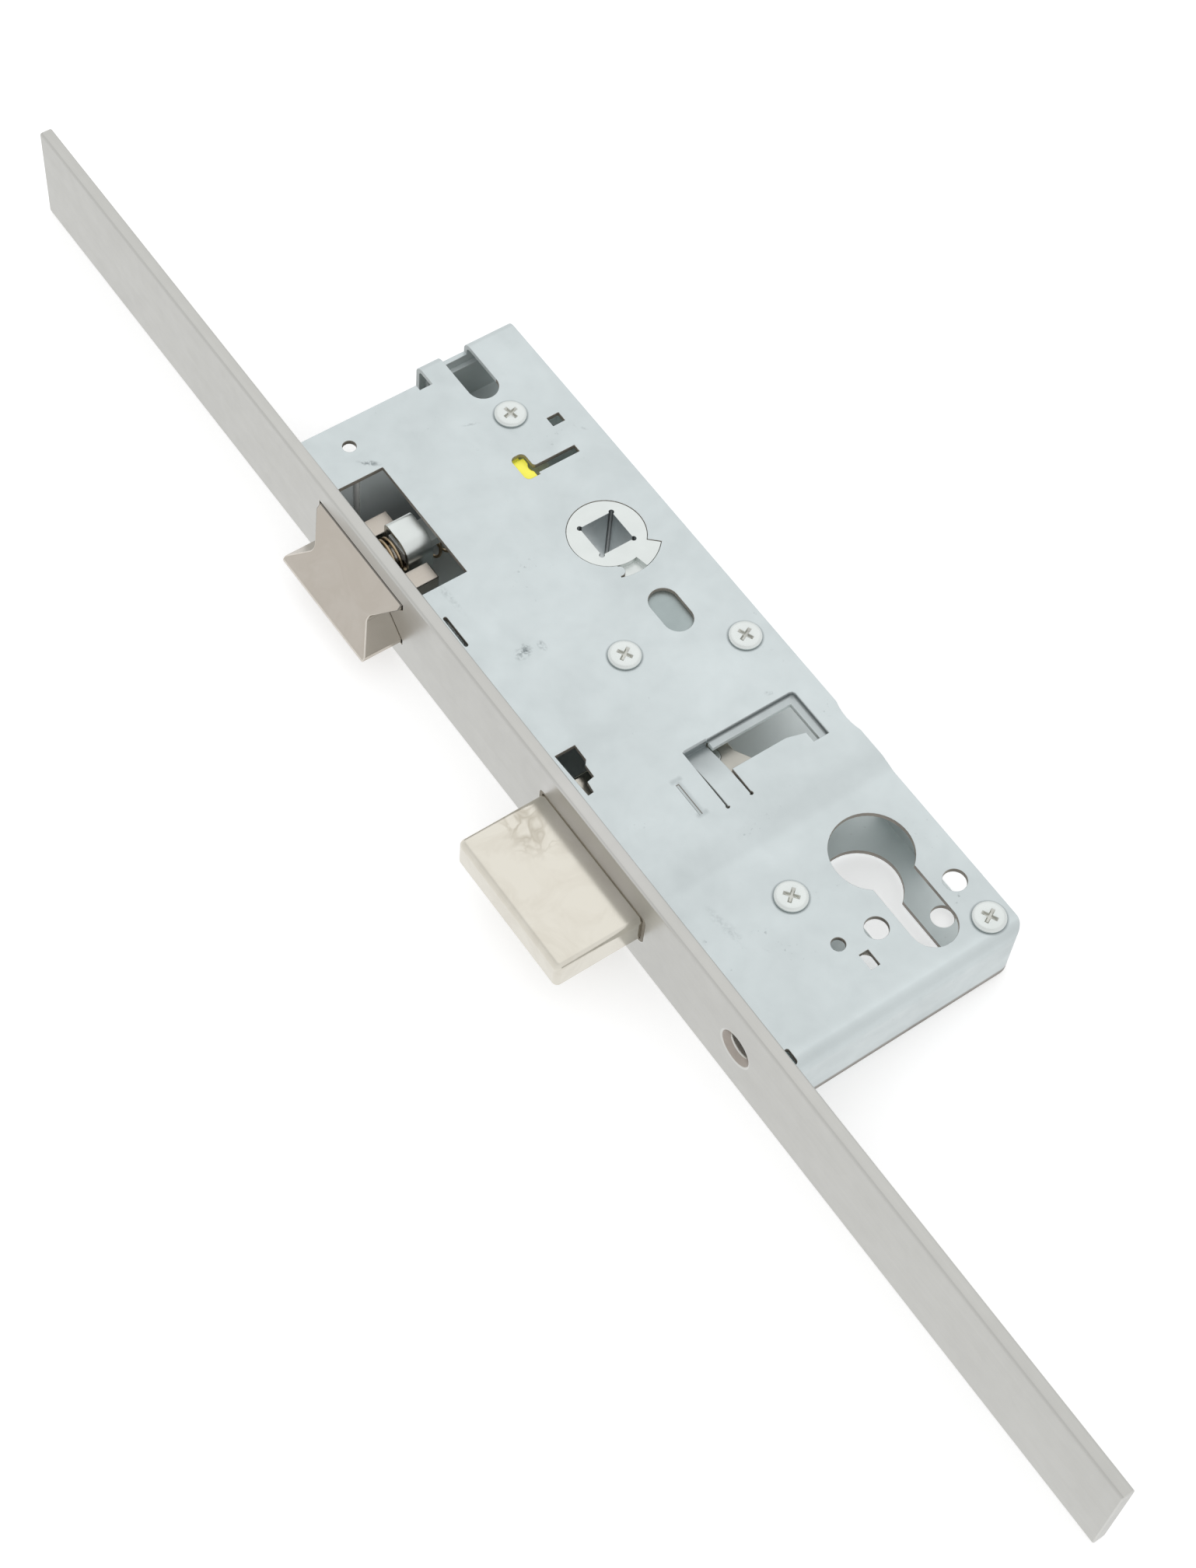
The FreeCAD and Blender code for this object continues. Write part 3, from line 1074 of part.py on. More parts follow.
def make_reversing_slide():
    tip = FOLLOWER_X - SLIDE_TIP_ABOVE_FOLLOWER
    half = SLIDE_WIDTH / 2
    low = ARM_TOP + SIDE_PLAY
    stem_x = slide_stem_x()
    bar_end = stem_x - SLIDE_STEM_RADIUS - SLIDE_STEM_MARGIN
    bar = box(bar_end, tip, SLIDE_Y - half, SLIDE_Y + half, low, low + SLIDE_BAR_THICKNESS)
    stub_top = UPPER_IN - SLIDE_STUB_PLAY
    stub = box(tip - SLIDE_STUB_LENGTH, tip, SLIDE_Y - half, SLIDE_Y + half, low, stub_top)
    crown = edges_along(stub, Y_AXIS, lambda p: p.z > low + SLIDE_BAR_THICKNESS)
    stub = stub.makeFillet(SLIDE_EDGE_RADIUS, crown)
    # Waist between the stub's two lobes, on the side of the window's long leg
    waist_x = tip - SLIDE_STUB_LENGTH / 2
    waist_y = SLIDE_Y + half + SLIDE_WAIST_RADIUS - SLIDE_WAIST_DEPTH
    stub = stub.cut(post(SLIDE_WAIST_RADIUS, waist_x, waist_y, low + SLIDE_BAR_THICKNESS, stub_top + CUT))
    stem_end = ARM_LOW - SLIDE_STEM_REACH
    stem = post(SLIDE_STEM_RADIUS, stem_x, SLIDE_Y, stem_end, low)
    clip = post(SLIDE_CLIP_RADIUS, stem_x, SLIDE_Y, stem_end, ARM_LOW - SLIDE_SLOT_PLAY)
    return bar.fuse([stub, stem, clip]).removeSplitter()


def deadbolt_rivet_places():
    y = DEADBOLT_REAR_Y - TAIL_SEAT / 2
    left = DEADBOLT_X - DEADBOLT_RIVET_OFFSET - DEADBOLT_RIVET_SPREAD / 2
    return [(left, y), (left + DEADBOLT_RIVET_SPREAD, y)]


def make_deadbolt():
    half = DEADBOLT_WIDTH / 2
    tall = DEADBOLT_THICKNESS / 2
    body = box(DEADBOLT_X - half, DEADBOLT_X + half, DEADBOLT_TIP_Y, DEADBOLT_REAR_Y, -tall, tall)
    front = DEADBOLT_TIP_Y + DEADBOLT_EDGE_RADIUS
    sides = edges_along(body, Y_AXIS, lambda p: True)
    sides += edges_along(body, X_AXIS, lambda p: p.y < front)
    sides += edges_along(body, Z_AXIS, lambda p: p.y < front)
    body = body.makeFillet(DEADBOLT_EDGE_RADIUS, sides)
    thin = TAIL_THICKNESS / 2
    seat = box(TAIL_LEFT_X, TAIL_RIGHT_X, DEADBOLT_REAR_Y - TAIL_SEAT, DEADBOLT_REAR_Y + CUT, -thin, thin)
    holes = [post(DEADBOLT_RIVET_RADIUS + RIVET_PLAY, x, y, -tall - CUT, tall + CUT)
             for x, y in deadbolt_rivet_places()]
    return body.cut([seat] + holes)


def throw_pin_place():
    turn = math.radians(180 + THROW_HALF_TURN)
    return THROW_PIVOT_X + THROW_ARM * math.cos(turn), THROW_PIVOT_Y + THROW_ARM * math.sin(turn)


def make_deadbolt_tail():
    thin = TAIL_THICKNESS / 2
    end_y = GUIDE_PIN_Y + GUIDE_PIN_RADIUS + GUIDE_SLOT_PLAY + TAIL_END_MARGIN
    strip = box(TAIL_LEFT_X, TAIL_RIGHT_X, DEADBOLT_REAR_Y - TAIL_SEAT, end_y, -thin, thin)
    strip = strip.makeFillet(TAIL_CORNER_RADIUS, edges_along(strip, Z_AXIS, lambda p: p.y > GUIDE_PIN_Y))
    cuts = [slot(GUIDE_PIN_RADIUS + GUIDE_SLOT_PLAY, GUIDE_PIN_X, GUIDE_PIN_Y - DEADBOLT_THROW,
                 GUIDE_PIN_X, GUIDE_PIN_Y, -thin - CUT, thin + CUT)]
    pin_x, pin_y = throw_pin_place()
    far_x = THROW_PIVOT_X - THROW_ARM
    cuts.append(slot(THROW_PIN_RADIUS + THROW_SLOT_PLAY, far_x, pin_y, pin_x, pin_y, -thin - CUT, thin + CUT))
    for y in (DETENT_Y, DETENT_Y - DEADBOLT_THROW):
        cuts.append(post(DETENT_NOTCH_RADIUS, DETENT_X, y, -thin - CUT, thin + CUT))
    for x, y in deadbolt_rivet_places():
        cuts.append(post(DEADBOLT_RIVET_RADIUS + RIVET_PLAY, x, y, -thin - CUT, thin + CUT))
    return strip.cut(cuts)


def make_deadbolt_rivets():
    tall = DEADBOLT_THICKNESS / 2
    return [post(DEADBOLT_RIVET_RADIUS, x, y, -tall, tall) for x, y in deadbolt_rivet_places()]


def make_tail_guide_pin():
    return post(GUIDE_PIN_RADIUS, GUIDE_PIN_X, GUIDE_PIN_Y, BACK_OUT, TAIL_THICKNESS / 2)


def make_throw_pivot():
    shoulder = post(THROW_SHOULDER_RADIUS, THROW_PIVOT_X, THROW_PIVOT_Y, BACK_IN, THROW_LOW - PIN_PLAY)
    journal = post(THROW_JOURNAL_RADIUS, THROW_PIVOT_X, THROW_PIVOT_Y, BACK_OUT, UPPER_IN)
    return shoulder.fuse(journal)


def make_throw_lever():
    top = THROW_LOW + THROW_THICKNESS
    pin_x, pin_y = throw_pin_place()
    boss = post(THROW_BOSS_RADIUS, THROW_PIVOT_X, THROW_PIVOT_Y, THROW_LOW, top)
    arm = slot(THROW_PIN_BOSS_RADIUS, THROW_PIVOT_X, THROW_PIVOT_Y, pin_x, pin_y, THROW_LOW, top)
    prongs = []
    for angle in (THROW_HALF_TURN - PRONG_ANGLE, THROW_HALF_TURN + PRONG_ANGLE):
        turn = math.radians(angle)
        tip_x = THROW_PIVOT_X + PRONG_LENGTH * math.cos(turn)
        tip_y = THROW_PIVOT_Y + PRONG_LENGTH * math.sin(turn)
        prongs.append(slot(PRONG_RADIUS, THROW_PIVOT_X, THROW_PIVOT_Y, tip_x, tip_y, THROW_LOW, top))
    bore = post(THROW_JOURNAL_RADIUS + PIN_PLAY, THROW_PIVOT_X, THROW_PIVOT_Y, THROW_LOW - CUT, top + CUT)
    pin_hole = post(THROW_PIN_RADIUS + RIVET_PLAY, pin_x, pin_y, THROW_LOW - CUT, top + CUT)
    return boss.fuse([arm] + prongs).cut([bore, pin_hole]).removeSplitter()


def make_throw_pin():
    pin_x, pin_y = throw_pin_place()
    low = -TAIL_THICKNESS / 2 - THROW_PIN_REACH
    return post(THROW_PIN_RADIUS, pin_x, pin_y, low, THROW_LOW + THROW_THICKNESS)


def make_detent_spring():
    """Leaf spring looped round a cover post, its nose in the tail's notch."""
    x, y = POST_THREE
    thick = DETENT_THICKNESS
    loop = POST_RADIUS + PIN_PLAY + thick / 2
    low = -DETENT_WIDTH / 2
    loop_end = math.radians(DETENT_LOOP_ANGLE)
    nose_side = math.radians(DETENT_NOSE_ANGLE)

    def ring(angle):
        return Vec(x + loop * math.cos(angle), y + loop * math.sin(angle), low)

    def nose(angle):
        reach = DETENT_NOSE_RADIUS
        return Vec(DETENT_X + reach * math.cos(angle), DETENT_Y + reach * math.sin(angle), low)

    edges = [
        Part.Arc(ring(-loop_end), ring(math.pi - loop_end / 2), ring(0)).toShape(),
        Part.LineSegment(ring(0), nose(nose_side)).toShape(),
        Part.Arc(nose(nose_side), nose(0), nose(-nose_side)).toShape(),
        Part.LineSegment(nose(-nose_side), nose(-nose_side) + Vec(-DETENT_LIP, -DETENT_LIP, 0)).toShape(),
    ]
    outline = Part.Wire(edges).makeOffset2D(thick / 2, 0, False, False, True)
    return Part.Face(outline).extrude(Vec(0, 0, DETENT_WIDTH))


save("faceplate", make_faceplate())
save("case_back", make_case_back())
save("case_cover", make_case_cover())
save("cover_posts", *make_cover_posts())
save("cover_support_plate", make_cover_support_plate())
save("cover_screws", *make_cover_screws())
save("latch_guide_posts", *make_guide_posts())
save("follower", make_follower())
save("follower_arm", make_follower_arm())
save("return_spring", make_return_spring())
save("return_spring_post", post(RETURN_POST_RADIUS, *return_post_place(), BACK_OUT, UPPER_IN))
save("latch_bolt", make_latch_bolt())
save("latch_tail", make_latch_tail())
save("latch_tail_rivets", *make_tail_rivets())
save("latch_saddle", make_latch_saddle())
save("latch_head_spring", make_head_spring())
save("latch_spring", make_latch_spring())
save("reversing_slide", make_reversing_slide())
save("deadbolt", make_deadbolt())
save("deadbolt_tail", make_deadbolt_tail())
save("deadbolt_rivets", *make_deadbolt_rivets())
save("tail_guide_pin", make_tail_guide_pin())
save("throw_pivot", make_throw_pivot())
save("throw_lever", make_throw_lever())
save("throw_pin", make_throw_pin())
save("deadbolt_detent_spring", make_detent_spring())
print("latch throw %.4f mm, deadbolt throw %.4f mm" % (LATCH_THROW, DEADBOLT_THROW))
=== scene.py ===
import bpy
import math
from mathutils import Matrix, Vector


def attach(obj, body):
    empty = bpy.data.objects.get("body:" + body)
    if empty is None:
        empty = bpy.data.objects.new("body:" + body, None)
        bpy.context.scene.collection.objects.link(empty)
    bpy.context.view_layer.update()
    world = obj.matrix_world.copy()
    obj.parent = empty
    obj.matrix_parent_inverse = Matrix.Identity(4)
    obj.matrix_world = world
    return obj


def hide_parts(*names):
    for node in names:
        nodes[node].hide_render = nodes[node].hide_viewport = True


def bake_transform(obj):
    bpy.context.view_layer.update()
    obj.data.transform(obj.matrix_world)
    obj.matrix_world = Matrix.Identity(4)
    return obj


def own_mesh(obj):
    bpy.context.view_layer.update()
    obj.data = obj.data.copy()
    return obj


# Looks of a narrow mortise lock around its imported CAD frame, in metres.

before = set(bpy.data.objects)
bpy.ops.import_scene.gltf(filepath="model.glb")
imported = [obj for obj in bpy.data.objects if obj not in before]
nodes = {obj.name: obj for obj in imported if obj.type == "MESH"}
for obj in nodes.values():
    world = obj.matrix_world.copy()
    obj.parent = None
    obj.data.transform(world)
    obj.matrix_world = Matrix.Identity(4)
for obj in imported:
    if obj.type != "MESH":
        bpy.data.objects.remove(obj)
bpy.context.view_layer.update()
scene = bpy.context.scene
MM = 0.001

# Places shared by several pieces, in millimetres, as in the CAD
REAR_Y = 15.0
UPPER_TOP = 8.8
LOWER_TOP = 7.9
SHEET = 1.2
BACK = -7.9
STEP_X = -14.0
FOLLOWER_X = -90.0
LATCH_X = -113.9
SINK_X = 17.1
PLATE_FRONT = -45.0
BOLT_X = -30.6
# Cover screws: x, y, the sheet's top under the head, turn in degrees
SCREW_PLACES = [
    (-126.3, 0.6, UPPER_TOP, 12),
    (-63.0, -14.6, UPPER_TOP, 31),
    (-53.7, 8.9, UPPER_TOP, 24),
    (-0.4, -19.5, LOWER_TOP, 38),
    (24.2, 10.0, LOWER_TOP, 27),
]
# Inside the case's walls, and where a wall's face was punched: low and high x, low and high y
INSIDE_BOX = (-147.0, 28.8, -41.9, 13.8)
PUNCHED_BOX = (-146.9, 28.8, -41.9, 13.8)
# The hooked window and its tongue, in the same order
HOOK_BOX = (-38.2, -25.8, -18.4, 9.2)
HOOK_OPENING = (-37.3, -25.8, -18.4, 8.6)
TONGUE_BOX = (-38.2, -23.2, -17.95, -12.45)
# Above these heights a face is pressed with the tongue, and an edge is the top of the pressed step
PRESSED_FLOOR = 5.0
STEP_FLOOR = 7.8
# How far the follower's socket, its corner reliefs and the countersunk hole reach from their middles
SOCKET_REACH = 6.6
SOCKET_CORNER = 5.0
SINK_REACH = 4.5
# Rounding of the pressed step, a point just outside a face, and a miss too small to see
SOFT_STEP = 0.42
PROBE = 0.15
HAIR = 0.01 * MM
# Part of a face's normal along an axis: below the first the face stands beside it, above the second it is level
UPRIGHT = 0.3
LEVEL = 0.95
# Edges that turn more than the first angle are broken, and more than the second stay crisp in the shading
BROKEN_FROM = math.radians(32)
CRISP_FROM = math.radians(38)


# Modelling helpers

def choose(piece):
    """Makes one object the only selected and active one."""
    bpy.ops.object.select_all(action="DESELECT")
    piece.select_set(True)
    bpy.context.view_layer.objects.active = piece


def apply_all_modifiers(piece):
    choose(piece)
    for modifier in list(piece.modifiers):
        bpy.ops.object.modifier_apply(modifier=modifier.name)


def settle(piece):
    """Puts the object at the origin with its place in its mesh."""
    choose(piece)
    bpy.ops.object.transform_apply(location=True, rotation=True, scale=True)


def within(place, box):
    """True inside a rectangle in millimetres: low and high x, low and high y."""
    return box[0] * MM < place.x < box[1] * MM and box[2] * MM < place.y < box[3] * MM


def inside_case(place):
    """True where a point lies between the case's sheets."""
    top = UPPER_TOP if place.x < STEP_X * MM else LOWER_TOP
    low, high = (BACK + SHEET) * MM, (top - SHEET) * MM
    return within(place, INSIDE_BOX) and low - HAIR < place.z < high + HAIR


def pressed_down(face):
    """True on the cover's tongue and on the outer step of the hooked window's ledge."""
    if face.center.z < PRESSED_FLOOR * MM:
        return False
    on_tongue = within(face.center, TONGUE_BOX) and max(face.normal.x, face.normal.z) > UPRIGHT
    on_step = within(face.center, HOOK_BOX) and not within(face.center, HOOK_OPENING)
    return on_tongue or on_step


def sheet_faces(piece):
    """Gives a case sheet's inner faces the inside's lighter copy of the zinc with painted shade, and the
    punched walls of its openings their own finish.
    """
    for face in piece.data.polygons:
        if piece.name.startswith("case_cover") and pressed_down(face):
            continue
        probe = face.center + face.normal * PROBE * MM
        if inside_case(probe):
            face.material_index = 1
        elif abs(face.normal.z) < UPRIGHT and within(probe, PUNCHED_BOX):
            face.material_index = 2


def socket_faces(piece):
    """The follower's square socket gets darker copies of the zinc than its turned face, as painted shade."""
    for face in piece.data.polygons:
        reach = math.hypot(face.center.x - FOLLOWER_X * MM, face.center.y)
        if reach < SOCKET_REACH * MM and abs(face.normal.z) < UPRIGHT:
            face.material_index = 2 if reach > SOCKET_CORNER * MM else 1


def sink_faces(piece):
    """The countersunk hole's walls in the faceplate."""
    for face in piece.data.polygons:
        reach = math.hypot(face.center.x - SINK_X * MM, face.center.z)
        if reach < SINK_REACH * MM and abs(face.normal.y) < LEVEL:
            face.material_index = 1


def soft_ledge(piece, edge):
    """Rounds the pressed step round the hooked window wider than the cover's punched edges."""
    mesh = piece.data
    faces_at = {}
    for face in mesh.polygons:
        for key in face.edge_keys:
            faces_at.setdefault(key, []).append(face.normal)
    weights = mesh.attributes.new("bevel_weight_edge", "FLOAT", "EDGE")
    for line in mesh.edges:
        normals = faces_at[tuple(sorted(line.vertices))]
        if len(normals) < 2 or normals[0].angle(normals[1]) < BROKEN_FROM:
            continue
        ends = [mesh.vertices[index].co for index in line.vertices]
        middle = (ends[0] + ends[1]) / 2
        level = abs(ends[0].z - ends[1].z) < HAIR and middle.z > STEP_FLOOR * MM
        beside = within(middle, HOOK_OPENING) or within(middle, TONGUE_BOX)
        pressed = within(middle, HOOK_BOX) and not beside
        weights.data[line.index].value = 1.0 if level and pressed else edge.width / (SOFT_STEP * MM)
    edge.width = SOFT_STEP * MM
    edge.limit_method = "WEIGHT"


# Nodes with a rounding of their own, with faces in several finishes, and with broken edges in another one, a
# painted highlight
SOFT_EDGES = {"case_cover": soft_ledge}
SORTED_FACES = {"case_back": sheet_faces, "case_cover": sheet_faces, "follower": socket_faces,
                "faceplate": sink_faces}
HIGHLIGHT_EDGES = {"faceplate": 2, "latch_bolt": 1, "deadbolt": 1}


def rounded(node, body, materials, width, segments):
    """A copy of a CAD node whose edges are broken, as on punched, milled or plated metal."""
    piece = bpy.data.objects.new(node + "_finished", nodes[node].data.copy())
    scene.collection.objects.link(piece)
    piece.data.materials.clear()
    for material in materials:
        piece.data.materials.append(material)
    choose(piece)
    bpy.ops.object.mode_set(mode="EDIT")
    bpy.ops.mesh.select_all(action="SELECT")
    bpy.ops.mesh.remove_doubles(threshold=0.002 * MM)
    bpy.ops.mesh.dissolve_limited(angle_limit=math.radians(0.5))
    bpy.ops.object.mode_set(mode="OBJECT")
    if node in SORTED_FACES:
        SORTED_FACES[node](piece)
    edge = piece.modifiers.new("Broken edge", "BEVEL")
    edge.width = width * MM
    edge.segments = segments
    edge.limit_method = "ANGLE"
    edge.angle_limit = BROKEN_FROM
    if node in SOFT_EDGES:
        SOFT_EDGES[node](piece, edge)
    edge.use_clamp_overlap = False
    edge.harden_normals = False
    # Some pieces' broken edges take a lighter material: a painted highlight
    edge.material = HIGHLIGHT_EDGES.get(node, -1)
    apply_all_modifiers(piece)
    bpy.ops.object.shade_smooth_by_angle(angle=CRISP_FROM)
    flat = piece.modifiers.new("Even faces", "WEIGHTED_NORMAL")
    flat.keep_sharp = True
    apply_all_modifiers(piece)
    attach(piece, body)
    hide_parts(node)


def wire(name, points, radius, body, material):
    """A round wire along a smooth path."""
    bpy.ops.object.select_all(action="DESELECT")
    bpy.ops.curve.primitive_nurbs_path_add()
    path = bpy.context.active_object
    path.name = name
    curve = path.data
    curve.splines.clear()
    spline = curve.splines.new("NURBS")
    spline.points.add(len(points) - 1)
    for point, place in zip(spline.points, points):
        point.co = (place[0] * MM, place[1] * MM, place[2] * MM, 1.0)
    spline.order_u = 4
    spline.use_endpoint_u = True
    spline.resolution_u = 4
    curve.bevel_depth = radius * MM
    curve.bevel_resolution = 4
    curve.use_fill_caps = True
    choose(path)
    bpy.ops.object.convert(target="MESH")
    piece = bpy.context.active_object
    settle(piece)
    bpy.ops.object.shade_smooth_by_angle(angle=math.radians(50))
    piece.data.materials.clear()
    piece.data.materials.append(material)
    if body:
        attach(piece, body)
    return piece


# Shader helpers

# An oval patch's half depth in millimetres, and the full part of its radius
SPOT_DEPTH = 3
SPOT_CORE = 0.3


class Nodes:
    """Adds and links shader nodes in one tree."""

    def __init__(self, tree):
        self.tree = tree

    def add(self, kind, **settings):
        node = self.tree.nodes.new(kind)
        for name, value in settings.items():
            setattr(node, name, value)
        return node

    def link(self, out, into):
        self.tree.links.new(out, into)

    def feed(self, value, into):
        """Sets a socket to a plain number, colour or vector, or links it to another node."""
        if isinstance(value, (int, float, tuple)):
            into.default_value = value
        else:
            self.link(value, into)

    def math(self, operation, first, second=0.0):
        node = self.add("ShaderNodeMath", operation=operation)
        self.feed(first, node.inputs[0])
        self.feed(second, node.inputs[1])
        return node.outputs[0]

    def noise(self, vector, scale, detail=3.0, roughness=0.5, distortion=0.0):
        node = self.add("ShaderNodeTexNoise")
        self.link(vector, node.inputs["Vector"])
        self.feed(scale, node.inputs["Scale"])
        node.inputs["Detail"].default_value = detail
        node.inputs["Roughness"].default_value = roughness
        node.inputs["Distortion"].default_value = distortion
        return node.outputs["Fac"]

    def spread(self, value, low, high, at_low=0.0, at_high=1.0):
        """Runs from one level to the other while the value runs from low to high."""
        node = self.add("ShaderNodeMapRange")
        self.link(value, node.inputs["Value"])
        node.inputs["From Min"].default_value = low
        node.inputs["From Max"].default_value = high
        node.inputs["To Min"].default_value = at_low
        node.inputs["To Max"].default_value = at_high
        return node.outputs["Result"]

    def ramp(self, value, stops):
        """A value that runs through the stops, each a place in millimetres and what it gives there."""
        low, high = stops[0][0] * MM, stops[-1][0] * MM
        node = self.add("ShaderNodeValToRGB")
        self.link(self.spread(value, low, high), node.inputs["Fac"])
        marks = node.color_ramp.elements
        marks[0].position = 0.0
        marks[1].position = 1.0
        for mark, (place, level) in ((marks[0], stops[0]), (marks[1], stops[-1])):
            mark.color = (level, level, level, 1)
        for place, level in stops[1:-1]:
            mark = marks.new((place * MM - low) / (high - low))
            mark.color = (level, level, level, 1)
        return node.outputs["Color"]

    def mixed(self, factor, first, second):
        """The first colour where the factor is 0, the second where it is 1."""
        node = self.add("ShaderNodeMix", data_type="RGBA")
        self.link(factor, node.inputs["Factor"])
        self.feed(first, node.inputs[6])
        self.feed(second, node.inputs[7])
        return node.outputs[2]

    def scaled(self, color, factor):
        node = self.add("ShaderNodeVectorMath", operation="SCALE")
        self.link(color, node.inputs[0])
        self.link(factor, node.inputs["Scale"])
        return node.outputs[0]

    def stretched(self, vector, along):
        node = self.add("ShaderNodeVectorMath", operation="MULTIPLY")
        self.link(vector, node.inputs[0])
        self.feed(along, node.inputs[1])
        return node.outputs[0]

    def axes(self, vector):
        apart = self.add("ShaderNodeSeparateXYZ")
        self.link(vector, apart.inputs[0])
        return apart.outputs["X"], apart.outputs["Y"], apart.outputs["Z"]

    def spot(self, vector, place, half_length, half_width, turn=0):
        """One in the middle of an oval patch in millimetres, fading to its rim."""
        placed = self.add("ShaderNodeMapping", vector_type="TEXTURE")
        self.link(vector, placed.inputs["Vector"])
        placed.inputs["Location"].default_value = tuple(value * MM for value in place)
        placed.inputs["Rotation"].default_value = (0, 0, math.radians(turn))
        placed.inputs["Scale"].default_value = (half_length * MM, half_width * MM, SPOT_DEPTH * MM)
        length = self.add("ShaderNodeVectorMath", operation="LENGTH")
        self.link(placed.outputs["Vector"], length.inputs[0])
        return self.spread(length.outputs["Value"], SPOT_CORE, 1.0, 1.0, 0.0)

    def box_mask(self, x, y, box, soft):
        """One inside a rectangle in millimetres, fading over its soft edge."""
        mask = None
        for value, (low, high) in ((x, box[:2]), (y, box[2:])):
            middle, half = (low + high) / 2 * MM, (high - low) / 2 * MM
            away = self.math("ABSOLUTE", self.math("SUBTRACT", value, middle))
            side = self.spread(away, half - soft * MM, half + soft * MM, 1.0, 0.0)
            mask = side if mask is None else self.math("MULTIPLY", mask, side)
        return mask


def new_group(name, inputs, outputs):
    """A shader group with named sockets, its node kit, its input node and its output node."""
    tree = bpy.data.node_groups.new(name, "ShaderNodeTree")
    for label, kind, value in inputs:
        socket = tree.interface.new_socket(name=label, in_out="INPUT", socket_type=kind)
        if value is not None:
            socket.default_value = value
    for label, kind in outputs:
        tree.interface.new_socket(name=label, in_out="OUTPUT", socket_type=kind)
    kit = Nodes(tree)
    return tree, kit, kit.add("NodeGroupInput"), kit.add("NodeGroupOutput")


FLOAT = "NodeSocketFloat"
VECTOR = "NodeSocketVector"
COLOR = "NodeSocketColor"


def plating_group():
    """Cloudy tone, small dark specks and fine grain of plated sheet and bars."""
    tree, kit, given, out = new_group(
        "Plating",
        [("Vector", VECTOR, None), ("Color", COLOR, None), ("Stain Color", COLOR, None),
         ("Cloud Scale", FLOAT, 60.0), ("Cloud Depth", FLOAT, 0.05), ("Stain Amount", FLOAT, 0.2),
         ("Roughness", FLOAT, 0.35), ("Roughness Spread", FLOAT, 0.08)],
        [("Color", COLOR), ("Roughness", FLOAT), ("Height", FLOAT)])
    vector = given.outputs["Vector"]
    clouds = kit.noise(vector, given.outputs["Cloud Scale"], detail=5.0, roughness=0.55, distortion=0.3)
    swing = kit.spread(clouds, 0.3, 0.7, -1.0, 1.0)
    tone = kit.math("ADD", kit.math("MULTIPLY", swing, given.outputs["Cloud Depth"]), 1.0)
    clouded = kit.scaled(given.outputs["Color"], tone)
    patch = kit.spread(kit.noise(vector, scale=95.0, detail=4.0, roughness=0.6, distortion=0.8), 0.6, 0.78)
    speck = kit.spread(kit.noise(vector, scale=900.0, detail=2.0, roughness=0.6), 0.63, 0.72)
    stain = kit.math("MULTIPLY", kit.math("MULTIPLY", patch, speck), given.outputs["Stain Amount"])
    kit.link(kit.mixed(stain, clouded, given.outputs["Stain Color"]), out.inputs["Color"])
    rub = kit.spread(kit.noise(vector, scale=210.0, roughness=0.6, distortion=0.4), 0.3, 0.7, -1.0, 1.0)
    uneven = kit.math("MULTIPLY", rub, given.outputs["Roughness Spread"])
    kit.link(kit.math("ADD", given.outputs["Roughness"], uneven), out.inputs["Roughness"])
    kit.link(kit.noise(vector, scale=2600.0, roughness=0.6), out.inputs["Height"])
    return tree


def grain_group():
    """Long fine lines left by grinding or rolling."""
    tree, kit, given, out = new_group(
        "Ground lines",
        [("Vector", VECTOR, None), ("Stretch", VECTOR, None), ("Depth", FLOAT, 0.5)],
        [("Mask", FLOAT), ("Height", FLOAT)])
    drawn = kit.stretched(given.outputs["Vector"], given.outputs["Stretch"])
    fine = kit.noise(drawn, scale=1.0, detail=6.0, roughness=0.7)
    broad = kit.noise(drawn, scale=0.22, roughness=0.6)
    lines = kit.math("ADD", kit.math("MULTIPLY", fine, 0.6), kit.math("MULTIPLY", broad, 0.4))
    mask = kit.spread(lines, 0.3, 0.7)
    kit.link(mask, out.inputs["Mask"])
    kit.link(kit.math("MULTIPLY", mask, given.outputs["Depth"]), out.inputs["Height"])
    return tree


def smear_group():
    """Finger smears and a thin film on polished nickel."""
    tree, kit, given, out = new_group(
        "Smears",
        [("Vector", VECTOR, None), ("Color", COLOR, None), ("Film Color", COLOR, None),
         ("Scale", FLOAT, 90.0), ("Amount", FLOAT, 0.5), ("Roughness", FLOAT, 0.15),
         ("Film Roughness", FLOAT, 0.3)],
        [("Color", COLOR), ("Roughness", FLOAT), ("Height", FLOAT)])
    vector = given.outputs["Vector"]
    blot = kit.noise(vector, given.outputs["Scale"], detail=4.0, roughness=0.62, distortion=1.6)
    film = kit.math("MULTIPLY", kit.spread(blot, 0.44, 0.62), given.outputs["Amount"])
    kit.link(kit.mixed(film, given.outputs["Color"], given.outputs["Film Color"]), out.inputs["Color"])
    step = kit.math("SUBTRACT", given.outputs["Film Roughness"], given.outputs["Roughness"])
    rough = kit.math("ADD", given.outputs["Roughness"], kit.math("MULTIPLY", step, film))
    kit.link(rough, out.inputs["Roughness"])
    kit.link(kit.noise(vector, scale=700.0), out.inputs["Height"])
    return tree


# Scuffs and smudges on the cover: centre x and y, half length, half width, turn in degrees, strength
SCUFFS = [
    (-74.8, -31.2, 1.8, 2.6, 20, 0.9),
    (-74.0, -27.2, 1.6, 1.0, 0, 0.7),
    (-131.4, -31.6, 3.0, 0.9, 50, 0.8),
    (-128.7, -8.2, 2.6, 0.4, 70, 0.35),
    (-115.9, 11.1, 2.4, 0.4, 35, 0.3),
    (-40.0, 4.6, 1.2, 0.7, 60, 0.6),
    (14.0, 1.0, 1.6, 0.8, 30, 0.5),
    (-2.0, -34.0, 7.0, 1.6, 8, 0.25),
    (-96.0, -36.5, 9.0, 1.0, 3, 0.25),
]
